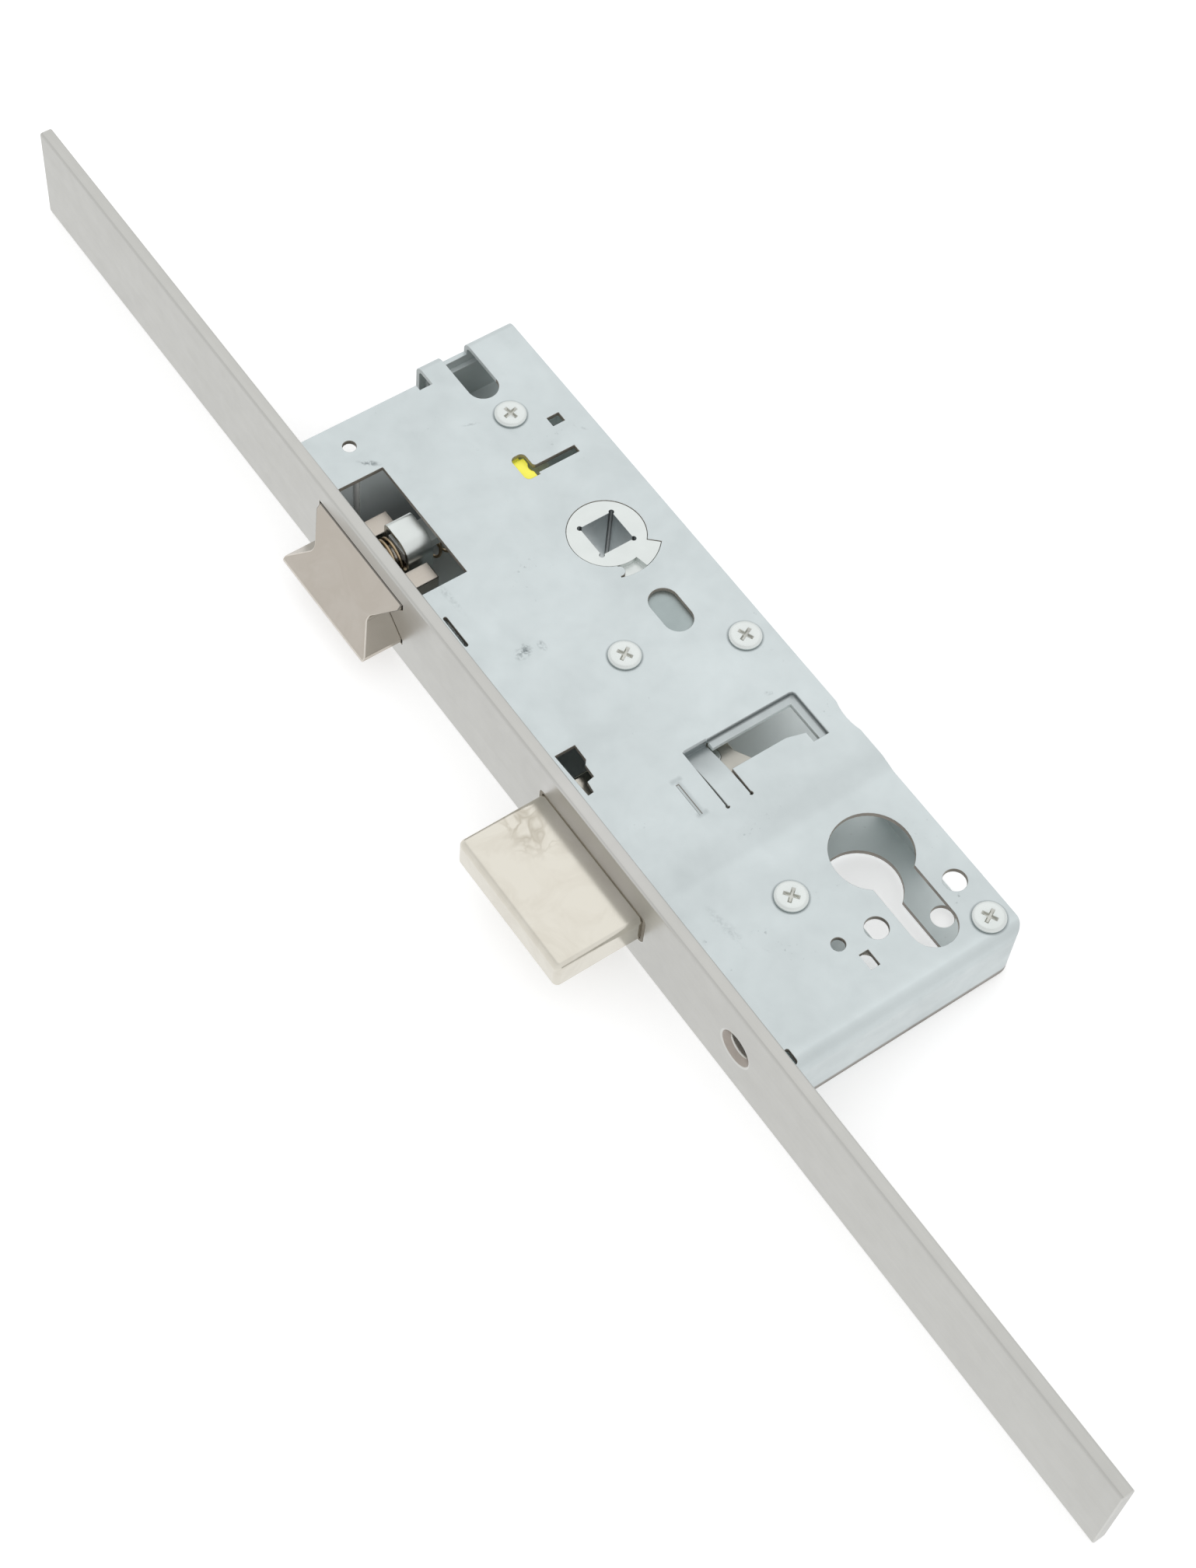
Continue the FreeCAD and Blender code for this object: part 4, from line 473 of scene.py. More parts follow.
# Half the cover's painted light and shade along X, at its joggle crease and end bend, and down its end wall
PAINTED_LIGHT_ALONG = [(-150, 0.497), (-75, 0.497), (-58, 0.512), (-34, 0.502), (-20, 0.5), (-17, 0.478),
              (-13.5, 0.478), (-12, 0.512), (-4, 0.5), (10, 0.487), (25.5, 0.478), (27.2, 0.512),
              (28.8, 0.478), (29.6, 0.495), (30, 0.5)]
PAINTED_LIGHT_DOWN = [(-7.4, 0.5), (-5.0, 0.482), (-2.0, 0.51), (2.0, 0.49), (4.5, 0.5), (8.8, 0.5)]
# Painted shade of the case's inside along X, away from the latch window and behind it
INSIDE_SHADE_ALONG = [(-150, 0.75), (-140, 0.75), (-134, 1.0), (-100, 0.9), (-40, 0.9), (30, 0.95)]
INSIDE_SHADE_BY_LATCH = [(-150, 0.6), (-136, 0.45), (-128, 0.2), (-117, 0.2), (-113, 0.85), (-102, 1.0),
                   (-90, 0.8), (-40, 0.9), (30, 0.97)]
# Low and high y between which the painted shade behind the latch window ends
LATCH_SHADE_END = (-24, -20)
# How much the pressed tongue darkens towards its tip, and the ledge's step down its height
TONGUE_SHADE = [(-38, 0.4), (-35, 0.3), (-31, 0.1), (-28, 0.0), (-23, 0.0)]
STEP_SHADE = [(7.8, 0.0), (7.95, 0.6), (8.7, 0.6), (8.79, 0.0)]
# The pressed mark beside the hooked window, a bump with painted shade in it: low and high x, low and high y
PRESSED_BAR = (-33.2, -24.7, -23.7, -22.7)
PRESSED_ENDS = [(-33.9, -32.9, -24.5, -22.0), (-25.0, -24.0, -24.5, -22.0)]
# Heights between which a place counts as the cover's top, and distances between which the painted shadow round
# a screw's head ends
COVER_TOP = (7.0, 8.0)
SCREW_SHADOW_RIM = (3.5, 4.0)
# Where the cover's end wall begins in x, and where the painted shade at its foot ends in z
END_WALL = (28.6, 28.9)
FOOT_SHADE = (-6.3, -5.3)


def cover_marks_and_light_group():
    """Rubbed and smudged places on the cover, and painted light and shade: along it and down its end wall, on
    the tongue and step, in its pressed mark, round the screw heads and at its end wall's foot.
    """
    tree, kit, given, out = new_group(
        "Cover Marks and Painted Light", [("Vector", VECTOR, None)],
        [("Mask", FLOAT), ("Painted Light", FLOAT), ("Pressed", FLOAT), ("Screw Shadow", FLOAT), ("Foot Shade", FLOAT)])
    vector = given.outputs["Vector"]
    blotches = kit.spread(kit.noise(vector, scale=900.0, roughness=0.65, distortion=0.5), 0.42, 0.62)
    scuffs = None
    for x, y, half_length, half_width, turn, strength in SCUFFS:
        oval = kit.spot(vector, (x, y, UPPER_TOP), half_length, half_width, turn)
        scuff = kit.math("MULTIPLY", oval, strength)
        scuffs = scuff if scuffs is None else kit.math("MAXIMUM", scuffs, scuff)
    kit.link(kit.math("MULTIPLY", scuffs, blotches), out.inputs["Mask"])
    x, y, z = kit.axes(vector)
    # Each ramp gives half of its painted light and shade, so that their product can pass one
    halves = kit.math("MULTIPLY", kit.ramp(x, PAINTED_LIGHT_ALONG), kit.ramp(z, PAINTED_LIGHT_DOWN))
    tone = kit.math("MULTIPLY", halves, 4.0)
    on_tongue = kit.box_mask(x, y, TONGUE_BOX, soft=0.1)
    bent = kit.math("MULTIPLY", on_tongue, kit.ramp(x, TONGUE_SHADE))
    on_step = kit.math("SUBTRACT", kit.box_mask(x, y, HOOK_BOX, soft=0.1), on_tongue)
    stepped = kit.math("MULTIPLY", on_step, kit.ramp(z, STEP_SHADE))
    light = kit.math("SUBTRACT", 1.0, kit.math("MAXIMUM", bent, stepped))
    kit.link(kit.math("MULTIPLY", tone, light), out.inputs["Painted Light"])
    pressed = kit.box_mask(x, y, PRESSED_BAR, soft=0.35)
    for box in PRESSED_ENDS:
        pressed = kit.math("MAXIMUM", pressed, kit.box_mask(x, y, box, soft=0.3))
    on_top = kit.spread(z, COVER_TOP[0] * MM, COVER_TOP[1] * MM)
    kit.link(kit.math("MULTIPLY", pressed, on_top), out.inputs["Pressed"])
    # Painted shadow in a ring round each screw head
    screw_shadows = None
    for screw_x, screw_y, top, turn in SCREW_PLACES:
        away = kit.add("ShaderNodeVectorMath", operation="DISTANCE")
        kit.link(vector, away.inputs[0])
        away.inputs[1].default_value = (screw_x * MM, screw_y * MM, top * MM)
        seat = kit.spread(away.outputs["Value"], SCREW_SHADOW_RIM[0] * MM, SCREW_SHADOW_RIM[1] * MM, 1.0, 0.0)
        screw_shadows = seat if screw_shadows is None else kit.math("MAXIMUM", screw_shadows, seat)
    kit.link(screw_shadows, out.inputs["Screw Shadow"])
    # Painted shade at the end wall's foot
    on_end = kit.spread(x, END_WALL[0] * MM, END_WALL[1] * MM)
    foot = kit.spread(z, FOOT_SHADE[0] * MM, FOOT_SHADE[1] * MM, 1.0, 0.0)
    kit.link(kit.math("MULTIPLY", foot, on_end), out.inputs["Foot Shade"])
    return tree


PLATING = plating_group()
GRAIN = grain_group()
SMEARS = smear_group()
COVER_MARKS_AND_LIGHT = cover_marks_and_light_group()


def srgb(red, green, blue):
    """A colour read off a screen, 0 to 255, as the renderer's linear values."""
    def linear(value):
        value /= 255
        return value / 12.92 if value <= 0.04045 else ((value + 0.055) / 1.055) ** 2.4
    return (linear(red), linear(green), linear(blue), 1.0)


def new_material(name, metallic):
    """A material, its node kit, its shader and the place on the object that its patterns read."""
    material = bpy.data.materials.new(name)
    material.use_nodes = True
    tree = material.node_tree
    kit = Nodes(tree)
    shader = tree.nodes["Principled BSDF"]
    shader.inputs["Metallic"].default_value = metallic
    place = kit.add("ShaderNodeTexCoord").outputs["Object"]
    return material, kit, shader, place


def place_group(kit, tree, vector, values):
    """Puts a shader group into a material with its own values."""
    node = kit.add("ShaderNodeGroup")
    node.node_tree = tree
    kit.link(vector, node.inputs["Vector"])
    for name, value in values.items():
        node.inputs[name].default_value = value
    return node


def bump(kit, shader, height, strength, distance):
    """Relief on the surface, its distance in millimetres."""
    node = kit.add("ShaderNodeBump")
    node.inputs["Strength"].default_value = strength
    node.inputs["Distance"].default_value = distance * MM
    kit.link(height, node.inputs["Height"])
    kit.link(node.outputs["Normal"], shader.inputs["Normal"])


def plated(name, color, stain, roughness, spread, clouds, depth, stains, metallic=1.0, grain=0.02):
    """Plated or oiled metal with clouds, specks and fine grain."""
    material, kit, shader, place = new_material(name, metallic)
    group = place_group(kit, PLATING, place, {
        "Color": color, "Stain Color": stain, "Cloud Scale": clouds, "Cloud Depth": depth,
        "Stain Amount": stains, "Roughness": roughness, "Roughness Spread": spread})
    kit.link(group.outputs["Color"], shader.inputs["Base Color"])
    kit.link(group.outputs["Roughness"], shader.inputs["Roughness"])
    bump(kit, shader, group.outputs["Height"], strength=0.25, distance=grain)
    return material


# Faceplate: how the grinding lines are drawn out along X, and the patch of painted light beside the bolt, low
# and high x, low and high z
GRINDING = (14.0, 1500.0, 1500.0)
PAINTED_LIGHT_PATCH = (-45.0, -15.5, 3.5, 10.0)
PATCH_EDGE = 3.5


def ground_steel(name, color, streak, painted_light_color, roughness):
    """Steel with long grinding lines, slightly different tones between them and one lighter patch of painted
    light beside the bolt.
    """
    material, kit, shader, place = new_material(name, 1.0)
    lines = place_group(kit, GRAIN, place, {"Stretch": GRINDING, "Depth": 1.0})
    base = place_group(kit, PLATING, place, {
        "Color": color, "Stain Color": streak, "Cloud Scale": 35.0, "Cloud Depth": 0.03,
        "Stain Amount": 0.15, "Roughness": roughness, "Roughness Spread": 0.04})
    streaked = kit.mixed(kit.math("MULTIPLY", lines.outputs["Mask"], 0.5), base.outputs["Color"], streak)
    x, y, z = kit.axes(place)
    # Painted light: a lighter patch where the bolt shades the faceplate
    patched = kit.mixed(kit.box_mask(x, z, PAINTED_LIGHT_PATCH, PATCH_EDGE), streaked, painted_light_color)
    kit.link(patched, shader.inputs["Base Color"])
    kit.link(base.outputs["Roughness"], shader.inputs["Roughness"])
    bump(kit, shader, lines.outputs["Height"], strength=0.3, distance=0.004)
    return material


def smeared(name, color, film, scale, amount, roughness, film_roughness, grain, along_y=None, veins=None):
    """Nickel under a thin film, darker along Y by painted shade beside the faceplate, with veined grease in one
    patch.
    """
    material, kit, shader, place = new_material(name, 1.0)
    group = place_group(kit, SMEARS, place, {
        "Color": color, "Film Color": film, "Scale": scale, "Amount": amount,
        "Roughness": roughness, "Film Roughness": film_roughness})
    tone = group.outputs["Color"]
    # Painted shade: darker along Y where the bolt runs beside the faceplate
    if along_y:
        x, y, z = kit.axes(place)
        tone = kit.scaled(tone, kit.ramp(y, along_y))
    if veins:
        middle, half_length, half_width, grease = veins
        wavy = kit.noise(place, scale=170.0, detail=2.0, distortion=1.4)
        ridges = kit.math("ABSOLUTE", kit.math("SUBTRACT", wavy, 0.5))
        lines = kit.spread(ridges, 0.0, 0.1, 0.6, 0.0)
        spot = kit.spot(place, middle, half_length, half_width)
        tone = kit.mixed(kit.math("MULTIPLY", lines, spot), tone, grease)
    kit.link(tone, shader.inputs["Base Color"])
    kit.link(group.outputs["Roughness"], shader.inputs["Roughness"])
    bump(kit, shader, group.outputs["Height"], strength=0.2, distance=grain)
    return material


def edge_highlight_material(name, color, along_y):
    """A broken edge with a painted highlight, and painted shade where it runs beside the faceplate."""
    material, kit, shader, place = new_material(name, 1.0)
    x, y, z = kit.axes(place)
    tint = kit.add("ShaderNodeRGB")
    tint.outputs[0].default_value = color
    wear = kit.spread(kit.noise(place, scale=500.0, roughness=0.6), 0.3, 0.7, 0.88, 1.0)
    # Painted highlight, dimmed by painted shade along Y beside the faceplate; the wear noise is real
    tone = kit.math("MULTIPLY", kit.ramp(y, along_y), wear)
    kit.link(kit.scaled(tint.outputs[0], tone), shader.inputs["Base Color"])
    shader.inputs["Roughness"].default_value = 0.22
    return material


def scuffed_and_shaded_sheet(name, color, stain, scuff, foot, roughness):
    """Zinc-plated sheet with clouds, specks, the cover's own scuffs, and painted light and shade over them."""
    material, kit, shader, place = new_material(name, 1.0)
    sheet = place_group(kit, PLATING, place, {
        "Color": color, "Stain Color": stain, "Cloud Scale": 55.0, "Cloud Depth": 0.06,
        "Stain Amount": 0.7, "Roughness": roughness, "Roughness Spread": 0.06})
    worn = place_group(kit, COVER_MARKS_AND_LIGHT, place, {})
    shaded = kit.scaled(sheet.outputs["Color"], worn.outputs["Painted Light"])
    # The scuffs are real marks; the darkening in the pressed mark and round the screw heads is painted shade
    dark = kit.math("MAXIMUM", worn.outputs["Mask"], kit.math("MULTIPLY", worn.outputs["Pressed"], 0.28))
    dark = kit.math("MAXIMUM", dark, kit.math("MULTIPLY", worn.outputs["Screw Shadow"], 0.8))
    scuffed = kit.mixed(dark, shaded, scuff)
    # Painted shade at the end wall's foot
    footed = kit.mixed(kit.math("MULTIPLY", worn.outputs["Foot Shade"], 0.85), scuffed, foot)
    kit.link(footed, shader.inputs["Base Color"])
    rough = kit.math("ADD", sheet.outputs["Roughness"], kit.math("MULTIPLY", worn.outputs["Mask"], 0.15))
    kit.link(rough, shader.inputs["Roughness"])
    height = kit.math("SUBTRACT", kit.math("MULTIPLY", sheet.outputs["Height"], 0.1), worn.outputs["Pressed"])
    bump(kit, shader, height, strength=0.3, distance=0.25)
    return material


def inner_sheet(name, color, stain, roughness):
    """The case's inside, a lighter and less metallic copy of the zinc as painted light, with painted shade
    along X that is darkest behind the latch window.
    """
    material, kit, shader, place = new_material(name, 0.35)
    sheet = place_group(kit, PLATING, place, {
        "Color": color, "Stain Color": stain, "Cloud Scale": 60.0, "Cloud Depth": 0.07,
        "Stain Amount": 0.6, "Roughness": roughness, "Roughness Spread": 0.06})
    x, y, z = kit.axes(place)
    by_latch = kit.spread(y, LATCH_SHADE_END[0] * MM, LATCH_SHADE_END[1] * MM, 1.0, 0.0)
    tone = kit.mixed(by_latch, kit.ramp(x, INSIDE_SHADE_ALONG), kit.ramp(x, INSIDE_SHADE_BY_LATCH))
    kit.link(kit.scaled(sheet.outputs["Color"], tone), shader.inputs["Base Color"])
    kit.link(sheet.outputs["Roughness"], shader.inputs["Roughness"])
    bump(kit, shader, sheet.outputs["Height"], strength=0.25, distance=0.02)
    return material


# foot is the colour of the painted shade at the end wall's foot
ZINC_SHEET = scuffed_and_shaded_sheet(
    "zinc_sheet", srgb(206, 214, 215), srgb(138, 146, 148),
    scuff=srgb(126, 134, 136), foot=srgb(112, 102, 90), roughness=0.38)
# A lighter, less metallic copy of the zinc for the case's inside: painted light, with painted shade along it
INNER_ZINC = inner_sheet("zinc_inside", srgb(228, 236, 236), srgb(150, 146, 130), roughness=0.55)
# Darker copies of the zinc in the follower's socket and its corner reliefs: painted shade
SOCKET_WALL = plated(
    "socket_wall", srgb(190, 196, 197), srgb(120, 120, 118),
    roughness=0.4, spread=0.06, clouds=200.0, depth=0.06, stains=0.5)
SOCKET_RELIEF = plated(
    "socket_relief", srgb(152, 157, 158), srgb(100, 100, 98),
    roughness=0.5, spread=0.06, clouds=200.0, depth=0.06, stains=0.5)
# A lighter, less metallic copy of the zinc for the guide pins: painted light
LIT_PIN_ZINC = plated(
    "lit_guide_pin_zinc", srgb(244, 247, 246), srgb(170, 170, 165),
    roughness=0.3, spread=0.05, clouds=200.0, depth=0.03, stains=0.2, metallic=0.3)
PUNCHED_EDGE = plated(
    "punched_edge", srgb(152, 146, 137), srgb(92, 80, 66),
    roughness=0.5, spread=0.08, clouds=320.0, depth=0.12, stains=0.6, metallic=0.4)
BRIGHT_ZINC = plated(
    "bright_zinc", srgb(220, 225, 223), srgb(150, 150, 145),
    roughness=0.33, spread=0.05, clouds=120.0, depth=0.03, stains=0.15, grain=0.006)
SCREW_ZINC = plated(
    "screw_zinc", srgb(222, 227, 225), srgb(150, 150, 145),
    roughness=0.28, spread=0.04, clouds=160.0, depth=0.03, stains=0.15, grain=0.004)
SCREW_RECESS = plated(
    "screw_recess", srgb(204, 205, 199), srgb(120, 112, 100),
    roughness=0.4, spread=0.08, clouds=400.0, depth=0.1, stains=0.5)
# A lighter, less metallic copy of the zinc for the latch tail: painted light
LIT_DULL_ZINC = plated(
    "lit_dull_zinc", srgb(226, 231, 230), srgb(150, 148, 140),
    roughness=0.45, spread=0.06, clouds=120.0, depth=0.05, stains=0.4, metallic=0.35)
# A darker copy of the zinc for the plate under the cover: painted shade
PLATE_UNDER_COVER = plated(
    "plate_under_cover", srgb(170, 181, 181), srgb(120, 124, 122),
    roughness=0.42, spread=0.06, clouds=70.0, depth=0.05, stains=0.4)
# The last colour but one is the painted light in the patch beside the bolt
FACEPLATE_STEEL = ground_steel(
    "satin_faceplate", srgb(199, 199, 195), srgb(189, 188, 184), painted_light_color=srgb(219, 217, 217), roughness=0.34)
# A lighter copy for the faceplate's broken edges: painted highlight
PLATE_ARRIS = plated(
    "faceplate_edge_highlight", srgb(210, 210, 206), srgb(176, 175, 170),
    roughness=0.3, spread=0.04, clouds=300.0, depth=0.03, stains=0.3)
COUNTERSINK = plated(
    "countersink_steel", srgb(170, 162, 154), srgb(96, 88, 80),
    roughness=0.42, spread=0.06, clouds=300.0, depth=0.1, stains=0.5, metallic=0.7)
LATCH_NICKEL = smeared(
    "satin_nickel", srgb(193, 186, 176), srgb(203, 197, 189),
    scale=70.0, amount=0.4, roughness=0.24, film_roughness=0.32, grain=0.003)
# Latch edges: painted highlight, with painted shade beside the faceplate
LATCH_ARRIS = edge_highlight_material(
    "latch_edge_highlight", srgb(226, 220, 211), [(-60, 1.0), (-49, 1.0), (-46.5, 0.3), (-40, 0.3)])
# along_y is painted shade beside the faceplate; the veins are real grease
BOLT_NICKEL = smeared(
    "polished_nickel", srgb(222, 218, 207), srgb(208, 202, 189),
    scale=80.0, amount=0.35, roughness=0.15, film_roughness=0.24, grain=0.004,
    along_y=[(-66, 1.0), (-48.8, 1.0), (-47.5, 0.86), (-46, 0.72), (-45, 0.72), (-30, 0.8)],
    veins=((-43.0, -52.0, 4.0), 9.0, 6.0, srgb(168, 160, 143)))
# A lighter copy for the bolt's broken edges: painted highlight
BOLT_ARRIS = plated(
    "bolt_edge_highlight", srgb(238, 235, 226), srgb(200, 194, 180),
    roughness=0.2, spread=0.04, clouds=300.0, depth=0.05, stains=0.3)
# The colour of the shaded gap round the bolt, on a sheet that fills it: painted shade
GAP_SHADE = plated(
    "painted_gap_shade", srgb(150, 143, 130), srgb(104, 95, 82),
    roughness=0.6, spread=0.08, clouds=500.0, depth=0.12, stains=0.6, metallic=0.0)
INNER_STEEL = plated(
    "inner_steel", srgb(190, 188, 180), srgb(120, 114, 104),
    roughness=0.4, spread=0.06, clouds=120.0, depth=0.05, stains=0.4)
GREASED_STEEL = plated(
    "greased_steel", srgb(208, 202, 190), srgb(150, 140, 124),
    roughness=0.34, spread=0.06, clouds=120.0, depth=0.05, stains=0.4)
SPRING_WIRE = plated(
    "oiled_spring_wire", srgb(186, 168, 140), srgb(70, 60, 50),
    roughness=0.32, spread=0.1, clouds=300.0, depth=0.15, stains=0.6)


def yellow_plastic():
    """Bright moulded plastic with a painted glow that makes it lighter than its lamps light it."""
    material, kit, shader, place = new_material("yellow_plastic", 0.0)
    shader.inputs["IOR"].default_value = 1.49
    group = place_group(kit, PLATING, place, {
        "Color": srgb(255, 249, 92), "Stain Color": srgb(214, 202, 40), "Cloud Scale": 260.0,
        "Cloud Depth": 0.05, "Stain Amount": 0.2, "Roughness": 0.28, "Roughness Spread": 0.05})
    kit.link(group.outputs["Color"], shader.inputs["Base Color"])
    # Painted light: the plastic glows though it is no lamp
    kit.link(group.outputs["Color"], shader.inputs["Emission Color"])
    shader.inputs["Emission Strength"].default_value = 0.22
    kit.link(group.outputs["Roughness"], shader.inputs["Roughness"])
    bump(kit, shader, group.outputs["Height"], strength=0.2, distance=0.004)
    return material


YELLOW_PLASTIC = yellow_plastic()


# CAD pieces with broken edges

SHEETS = (ZINC_SHEET, INNER_ZINC, PUNCHED_EDGE)
# Node, body, materials, slot, width of the broken edge in millimetres, its steps
CAD_FINISHES = [
    ("faceplate", "case", (FACEPLATE_STEEL, COUNTERSINK, PLATE_ARRIS), "faceplate_steel", 0.25, 3),
    ("case_back", "case", SHEETS, "zinc_sheet", 0.1, 2),
    ("case_cover", "case", SHEETS, "zinc_sheet", 0.14, 2),
    ("cover_posts", "case", (BRIGHT_ZINC,), "bright_zinc", 0.12, 2),
    ("cover_support_plate", "case", (PLATE_UNDER_COVER,), "bright_zinc", 0.1, 2),
    ("latch_guide_posts", "case", (LIT_PIN_ZINC,), "bright_zinc", 0.1, 2),
    ("return_spring_post", "case", (BRIGHT_ZINC,), "bright_zinc", 0.1, 2),
    ("throw_pivot", "case", (BRIGHT_ZINC,), "bright_zinc", 0.12, 2),
    ("tail_guide_pin", "case", (BRIGHT_ZINC,), "bright_zinc", 0.12, 2),
    ("deadbolt_detent_spring", "case", (SPRING_WIRE,), "spring_wire", 0.05, 2),
    ("follower", "follower", (BRIGHT_ZINC, SOCKET_WALL, SOCKET_RELIEF), "bright_zinc", 0.1, 2),
    ("follower_arm", "follower", (INNER_STEEL,), "bright_zinc", 0.12, 2),
    ("latch_bolt", "latch", (LATCH_NICKEL, LATCH_ARRIS), "latch_nickel", 0.2, 3),
    ("latch_tail", "latch", (LIT_DULL_ZINC,), "bright_zinc", 0.12, 2),
    ("latch_saddle", "latch", (BRIGHT_ZINC,), "bright_zinc", 0.12, 2),
    ("latch_tail_rivets", "latch", (INNER_STEEL,), "bright_zinc", 0.15, 2),
    ("reversing_slide", "reversing_slide", (YELLOW_PLASTIC,), "yellow_plastic", 0.15, 2),
    ("deadbolt", "deadbolt", (BOLT_NICKEL, BOLT_ARRIS), "bolt_nickel", 0.2, 3),
    ("deadbolt_tail", "deadbolt", (GREASED_STEEL,), "bolt_nickel", 0.12, 2),
    ("deadbolt_rivets", "deadbolt", (BOLT_NICKEL,), "bolt_nickel", 0.15, 2),
    ("throw_lever", "throw_lever", (INNER_STEEL,), "bright_zinc", 0.12, 2),
    ("throw_pin", "throw_lever", (BRIGHT_ZINC,), "bright_zinc", 0.15, 2),
]
for node, body, materials, slot, width, segments in CAD_FINISHES:
    rounded(node, body, materials, width, segments)


# Painted shade in the gap round the thrown bolt

def gap_shade_film():
    """A sheet in the colour of the shaded gap, painted shade, that fills the gap between the bolt and the
    faceplate, level with its front.
    """
    half_length, half_height, corner = 17.9, 4.5, 1.3
    gap, bolt_half_length = 0.48, 17.12
    proud, thickness = 0.06, 0.2
    middle = (BOLT_X * MM, (PLATE_FRONT + proud) * MM, 0)
    bpy.ops.object.select_all(action="DESELECT")
    bpy.ops.mesh.primitive_plane_add(size=2 * MM, location=middle, rotation=(math.radians(90), 0, 0))
    film = bpy.context.active_object
    film.name = "bolt_gap_shade_film"
    film.scale = (half_length, half_height, 1)
    settle(film)
    bpy.ops.object.mode_set(mode="EDIT")
    bpy.ops.mesh.select_all(action="SELECT")
    bpy.ops.mesh.bevel(offset=corner * MM, segments=6, affect="VERTICES")
    bpy.ops.mesh.inset(thickness=gap * MM)
    # The gap is a little wider at the bolt's ends than along it
    closer = bolt_half_length / (half_length - gap)
    bpy.ops.transform.resize(value=(closer, 1, 1), center_override=middle)
    bpy.ops.mesh.delete(type="ONLY_FACE")
    bpy.ops.object.mode_set(mode="OBJECT")
    depth = film.modifiers.new("Depth", "SOLIDIFY")
    depth.thickness = thickness * MM
    depth.offset = -1
    apply_all_modifiers(film)
    film.data.materials.append(GAP_SHADE)
    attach(film, "case")


gap_shade_film()


# Cover screws

HEAD_RADIUS = 3.5
# Rim, rounded shoulder and crown of the head: how far each ring rises and how much it narrows
HEAD_RINGS = [(0.0, 1.0), (0.34, 1.0), (0.14, 0.985), (0.11, 0.965), (0.1, 0.935), (0.07, 0.94), (0.03, 0.9),
              (0.02, 0.6)]
# Cross recess: length, width and depth of a wing, its middle height and how much its foot narrows
WING_SIZE = (4.2, 0.95, 1.0)
WING_HEIGHT = 0.65
WING_TAPER = 0.55
# The recess's walls: they lie within this radius, and its foot below this height
RECESS_REACH = 2.3
RECESS_FLOOR = 0.6


def screw_head():
    """A low domed head, its underside on z = 0."""
    bpy.ops.object.select_all(action="DESELECT")
    bpy.ops.mesh.primitive_circle_add(
        vertices=64, radius=HEAD_RADIUS * MM, fill_type="NGON", location=(0, 0, 0))
    head = bpy.context.active_object
    head.name = "screw_head_pattern"
    bpy.ops.object.mode_set(mode="EDIT")
    bpy.ops.mesh.select_all(action="SELECT")
    for rise, scale in HEAD_RINGS:
        if rise:
            bpy.ops.mesh.extrude_region_move(TRANSFORM_OT_translate={"value": (0, 0, rise * MM)})
        bpy.ops.transform.resize(value=(scale, scale, 1), center_override=(0, 0, 0))
    bpy.ops.mesh.select_all(action="SELECT")
    bpy.ops.mesh.normals_make_consistent(inside=False)
    bpy.ops.object.mode_set(mode="OBJECT")
    return head


def cut_cross(head):
    """Cuts the cross recess with two tapered wings."""
    for turn in (0, 90):
        bpy.ops.object.select_all(action="DESELECT")
        bpy.ops.mesh.primitive_cube_add(size=1.0, location=(0, 0, WING_HEIGHT * MM))
        wing = bpy.context.active_object
        wing.scale = tuple(side * MM for side in WING_SIZE)
        wing.rotation_euler = (0, 0, math.radians(turn))
        settle(wing)
        for vertex in wing.data.vertices:
            if vertex.co.z < WING_HEIGHT * MM:
                vertex.co.x *= WING_TAPER
                vertex.co.y *= WING_TAPER
        cut = head.modifiers.new("Recess", "BOOLEAN")
        cut.operation = "DIFFERENCE"
        cut.object = wing
        cut.solver = "EXACT"
        apply_all_modifiers(head)
        bpy.data.objects.remove(wing)


def finish_head(head):
    """Breaks the head's edges and gives the recess its own finish."""
    edge = head.modifiers.new("Edge", "BEVEL")
    edge.width = 0.06 * MM
    edge.segments = 2
    edge.limit_method = "ANGLE"
    edge.angle_limit = math.radians(35)
    edge.use_clamp_overlap = False
    apply_all_modifiers(head)
    bpy.ops.object.shade_smooth_by_angle(angle=math.radians(40))
    head.data.materials.append(SCREW_ZINC)
    head.data.materials.append(SCREW_RECESS)
    for face in head.data.polygons:
        reach = math.hypot(face.center.x, face.center.y)
        sunk = face.center.z < RECESS_FLOOR * MM and face.normal.z > -0.5
        if reach < RECESS_REACH * MM and (sunk or abs(face.normal.z) < 0.7):
            face.material_index = 1


def cover_screws():
    head = screw_head()
    cut_cross(head)
    finish_head(head)
    for number, (x, y, top, turn) in enumerate(SCREW_PLACES):
        screw = bpy.data.objects.new("cover_screw_%d" % (number + 1), head.data.copy())
        scene.collection.objects.link(screw)
        turned = Matrix.Rotation(math.radians(turn), 4, "Z")
        screw.data.transform(Matrix.Translation((x * MM, y * MM, top * MM)) @ turned)
        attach(screw, "case")
        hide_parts("cover_screws")
    bpy.data.objects.remove(head)


cover_screws()


# Springs

def coil_points(centre_x, centre_z, radius, wire_radius, start, end, turns):
    """A compression spring's line along Y, with one closed turn at each end."""
    steps = 16
    hairline = 0.05
    closed = 2 * wire_radius + hairline
    first = start + wire_radius
    last = end - wire_radius
    points = []
    for step in range(int(turns * steps) + 1):
        turn = step / steps
        if turn < 1:
            y = first + closed * turn
        elif turn > turns - 1:
            y = last - closed * (turns - turn)
        else:
            y = first + closed + (last - first - 2 * closed) * (turn - 1) / (turns - 2)
        angle = 2 * math.pi * turn
        points.append((centre_x + radius * math.cos(angle), y, centre_z + radius * math.sin(angle)))
    return points


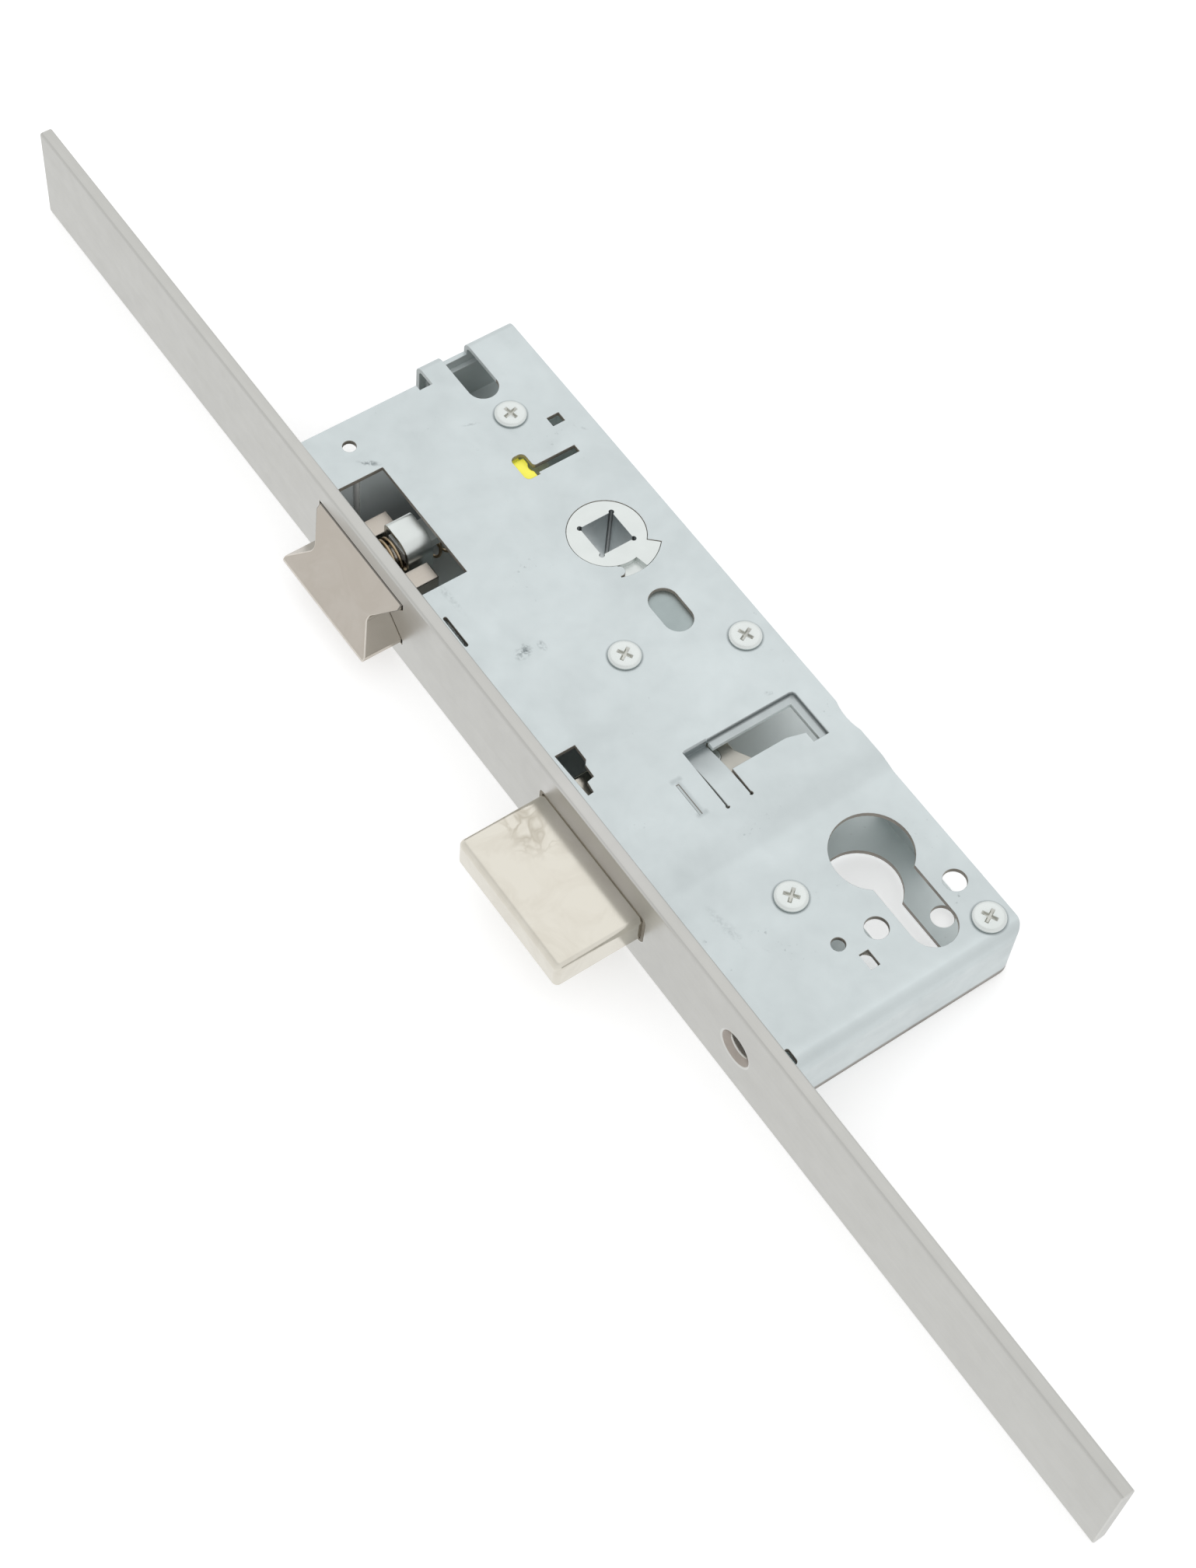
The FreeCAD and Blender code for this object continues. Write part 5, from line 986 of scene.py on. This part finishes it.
def latch_spring():
    """The coil behind the latch, pressed together as the latch draws back."""
    start, end = -30.9, -12.1
    centre_z = -2.6
    radius, wire_radius, turns = 3.0, 0.35, 8
    points = coil_points(LATCH_X, centre_z, radius, wire_radius, start, end, turns)
    spring = wire("latch_spring_coil", points, wire_radius, "case", SPRING_WIRE)
    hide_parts("latch_spring")
    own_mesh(spring)


def latch_head_spring():
    """The short coil round the latch's neck, seen in the latch window."""
    start, end = -39.9, -36.3
    centre_z = 0.3
    radius, wire_radius, turns = 4.2, 0.35, 3
    points = coil_points(LATCH_X, centre_z, radius, wire_radius, start, end, turns)
    spring = wire("latch_head_spring_coil", points, wire_radius, "latch", SPRING_WIRE)
    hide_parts("latch_head_spring")


def return_spring():
    """A torsion spring round the hub, one straight leg on the arm and one on the fixed post."""
    radius, wire_radius, turns = 9.2, 0.45, 1.5
    steps = 24
    pitch = 1.2
    seat = 3.9
    moving_leg, fixed_leg = (11.2, 6.0, 2.0), (3.0, 9.0, 16.2)
    low = seat + wire_radius
    high = low + pitch * turns
    points = [(FOLLOWER_X - along, radius, low) for along in moving_leg]
    for step in range(int(turns * steps) + 1):
        angle = math.pi / 2 - 2 * math.pi * step / steps
        x, y = FOLLOWER_X + radius * math.cos(angle), radius * math.sin(angle)
        points.append((x, y, low + pitch * step / steps))
    points += [(FOLLOWER_X - along, -radius, high) for along in fixed_leg]
    spring = wire("return_spring_coil", points, wire_radius, None, SPRING_WIRE)
    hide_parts("return_spring")
    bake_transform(spring)


latch_spring()
latch_head_spring()
return_spring()


# Camera, floor and light

WHITE = (1.0, 1.0, 1.0, 1.0)
FLOOR_GREY = (0.8, 0.8, 0.8, 1.0)
# Light that the floor adds for the camera alone, so that the background stays white
FLOOR_GLOW = 0.45
# Part of the room over the lock's front that is a little dimmer: its direction and how dim it is
DIM_TOWARD = (-0.15, -0.30, 0.94)
ROOM_LEVEL = 0.93
DIM_LEVEL = 0.82


def photo_camera():
    """The camera where the photograph's edges put it."""
    data = bpy.data.cameras.new("photo_camera")
    data.sensor_fit = "HORIZONTAL"
    data.sensor_width = 36.0
    data.lens = 88.341
    data.clip_start = 0.01
    data.clip_end = 20.0
    camera = bpy.data.objects.new("photo_camera", data)
    scene.collection.objects.link(camera)
    right = Vector((0.573356, 0.816764, 0.064502))
    up = Vector((-0.716590, 0.461752, 0.522766))
    back = Vector((0.397192, -0.345952, 0.850033))
    place = Vector((0.187126, -0.235316, 0.497249))
    camera.matrix_world = Matrix((
        (right.x, up.x, back.x, place.x),
        (right.y, up.y, back.y, place.y),
        (right.z, up.z, back.z, place.z),
        (0, 0, 0, 1)))
    scene.camera = camera


def studio_floor():
    """A white floor that carries the lock on its faceplate's lower edge and its case's rear edge."""
    edge_y, edge_z = -42.0, -12.5
    gap = 0.05
    tilt = math.atan2(BACK - edge_z, REAR_Y - edge_y)
    bpy.ops.object.select_all(action="DESELECT")
    bpy.ops.mesh.primitive_plane_add(
        size=6.0, location=(0, edge_y * MM, (edge_z - gap) * MM), rotation=(tilt, 0, 0))
    floor = bpy.context.active_object
    floor.name = "floor"
    settle(floor)
    material, kit, shader, place = new_material("floor_white", 0.0)
    shader.inputs["Base Color"].default_value = FLOOR_GREY
    shader.inputs["Roughness"].default_value = 0.9
    shader.inputs["Specular IOR Level"].default_value = 0.0
    path = kit.add("ShaderNodeLightPath")
    mirrored = kit.math("MAXIMUM", path.outputs["Is Glossy Ray"], path.outputs["Is Transmission Ray"])
    backlight = kit.add("ShaderNodeEmission")
    backlight.inputs["Color"].default_value = WHITE
    kit.link(kit.math("MULTIPLY", path.outputs["Is Camera Ray"], FLOOR_GLOW), backlight.inputs["Strength"])
    lit = kit.add("ShaderNodeAddShader")
    kit.link(shader.outputs["BSDF"], lit.inputs[0])
    kit.link(backlight.outputs["Emission"], lit.inputs[1])
    white = kit.add("ShaderNodeEmission")
    white.inputs["Color"].default_value = WHITE
    white.inputs["Strength"].default_value = 1.0
    chosen = kit.add("ShaderNodeMixShader")
    kit.link(mirrored, chosen.inputs["Fac"])
    kit.link(lit.outputs["Shader"], chosen.inputs[1])
    kit.link(white.outputs["Emission"], chosen.inputs[2])
    kit.link(chosen.outputs["Shader"], kit.tree.nodes["Material Output"].inputs["Surface"])
    floor.data.materials.append(material)


def studio_light():
    """An even white room, a little dimmer overhead in front of the lock, and one large softbox behind it."""
    world = bpy.data.worlds.new("studio")
    scene.world = world
    world.use_nodes = True
    kit = Nodes(world.node_tree)
    background = world.node_tree.nodes["Background"]
    background.inputs["Color"].default_value = WHITE
    direction = kit.add("ShaderNodeTexCoord").outputs["Generated"]
    toward = kit.add("ShaderNodeVectorMath", operation="DOT_PRODUCT")
    kit.link(direction, toward.inputs[0])
    toward.inputs[1].default_value = DIM_TOWARD
    room = kit.spread(toward.outputs["Value"], 0.72, 1.0, ROOM_LEVEL, DIM_LEVEL)
    camera_ray = kit.add("ShaderNodeLightPath").outputs["Is Camera Ray"]
    kit.link(kit.math("MAXIMUM", room, camera_ray), background.inputs["Strength"])
    lamp = bpy.data.lights.new("softbox", "AREA")
    lamp.shape = "SQUARE"
    lamp.size = 1.1
    lamp.energy = 0.6
    holder = bpy.data.objects.new("softbox", lamp)
    scene.collection.objects.link(holder)
    holder.location = (-0.52, 0.42, 1.05)
    middle_of_lock = Vector((-0.05, -0.02, 0))
    aim = middle_of_lock - holder.location
    holder.rotation_euler = aim.to_track_quat("-Z", "Y").to_euler()


photo_camera()
studio_floor()
studio_light()
scene.view_settings.view_transform = "Standard"
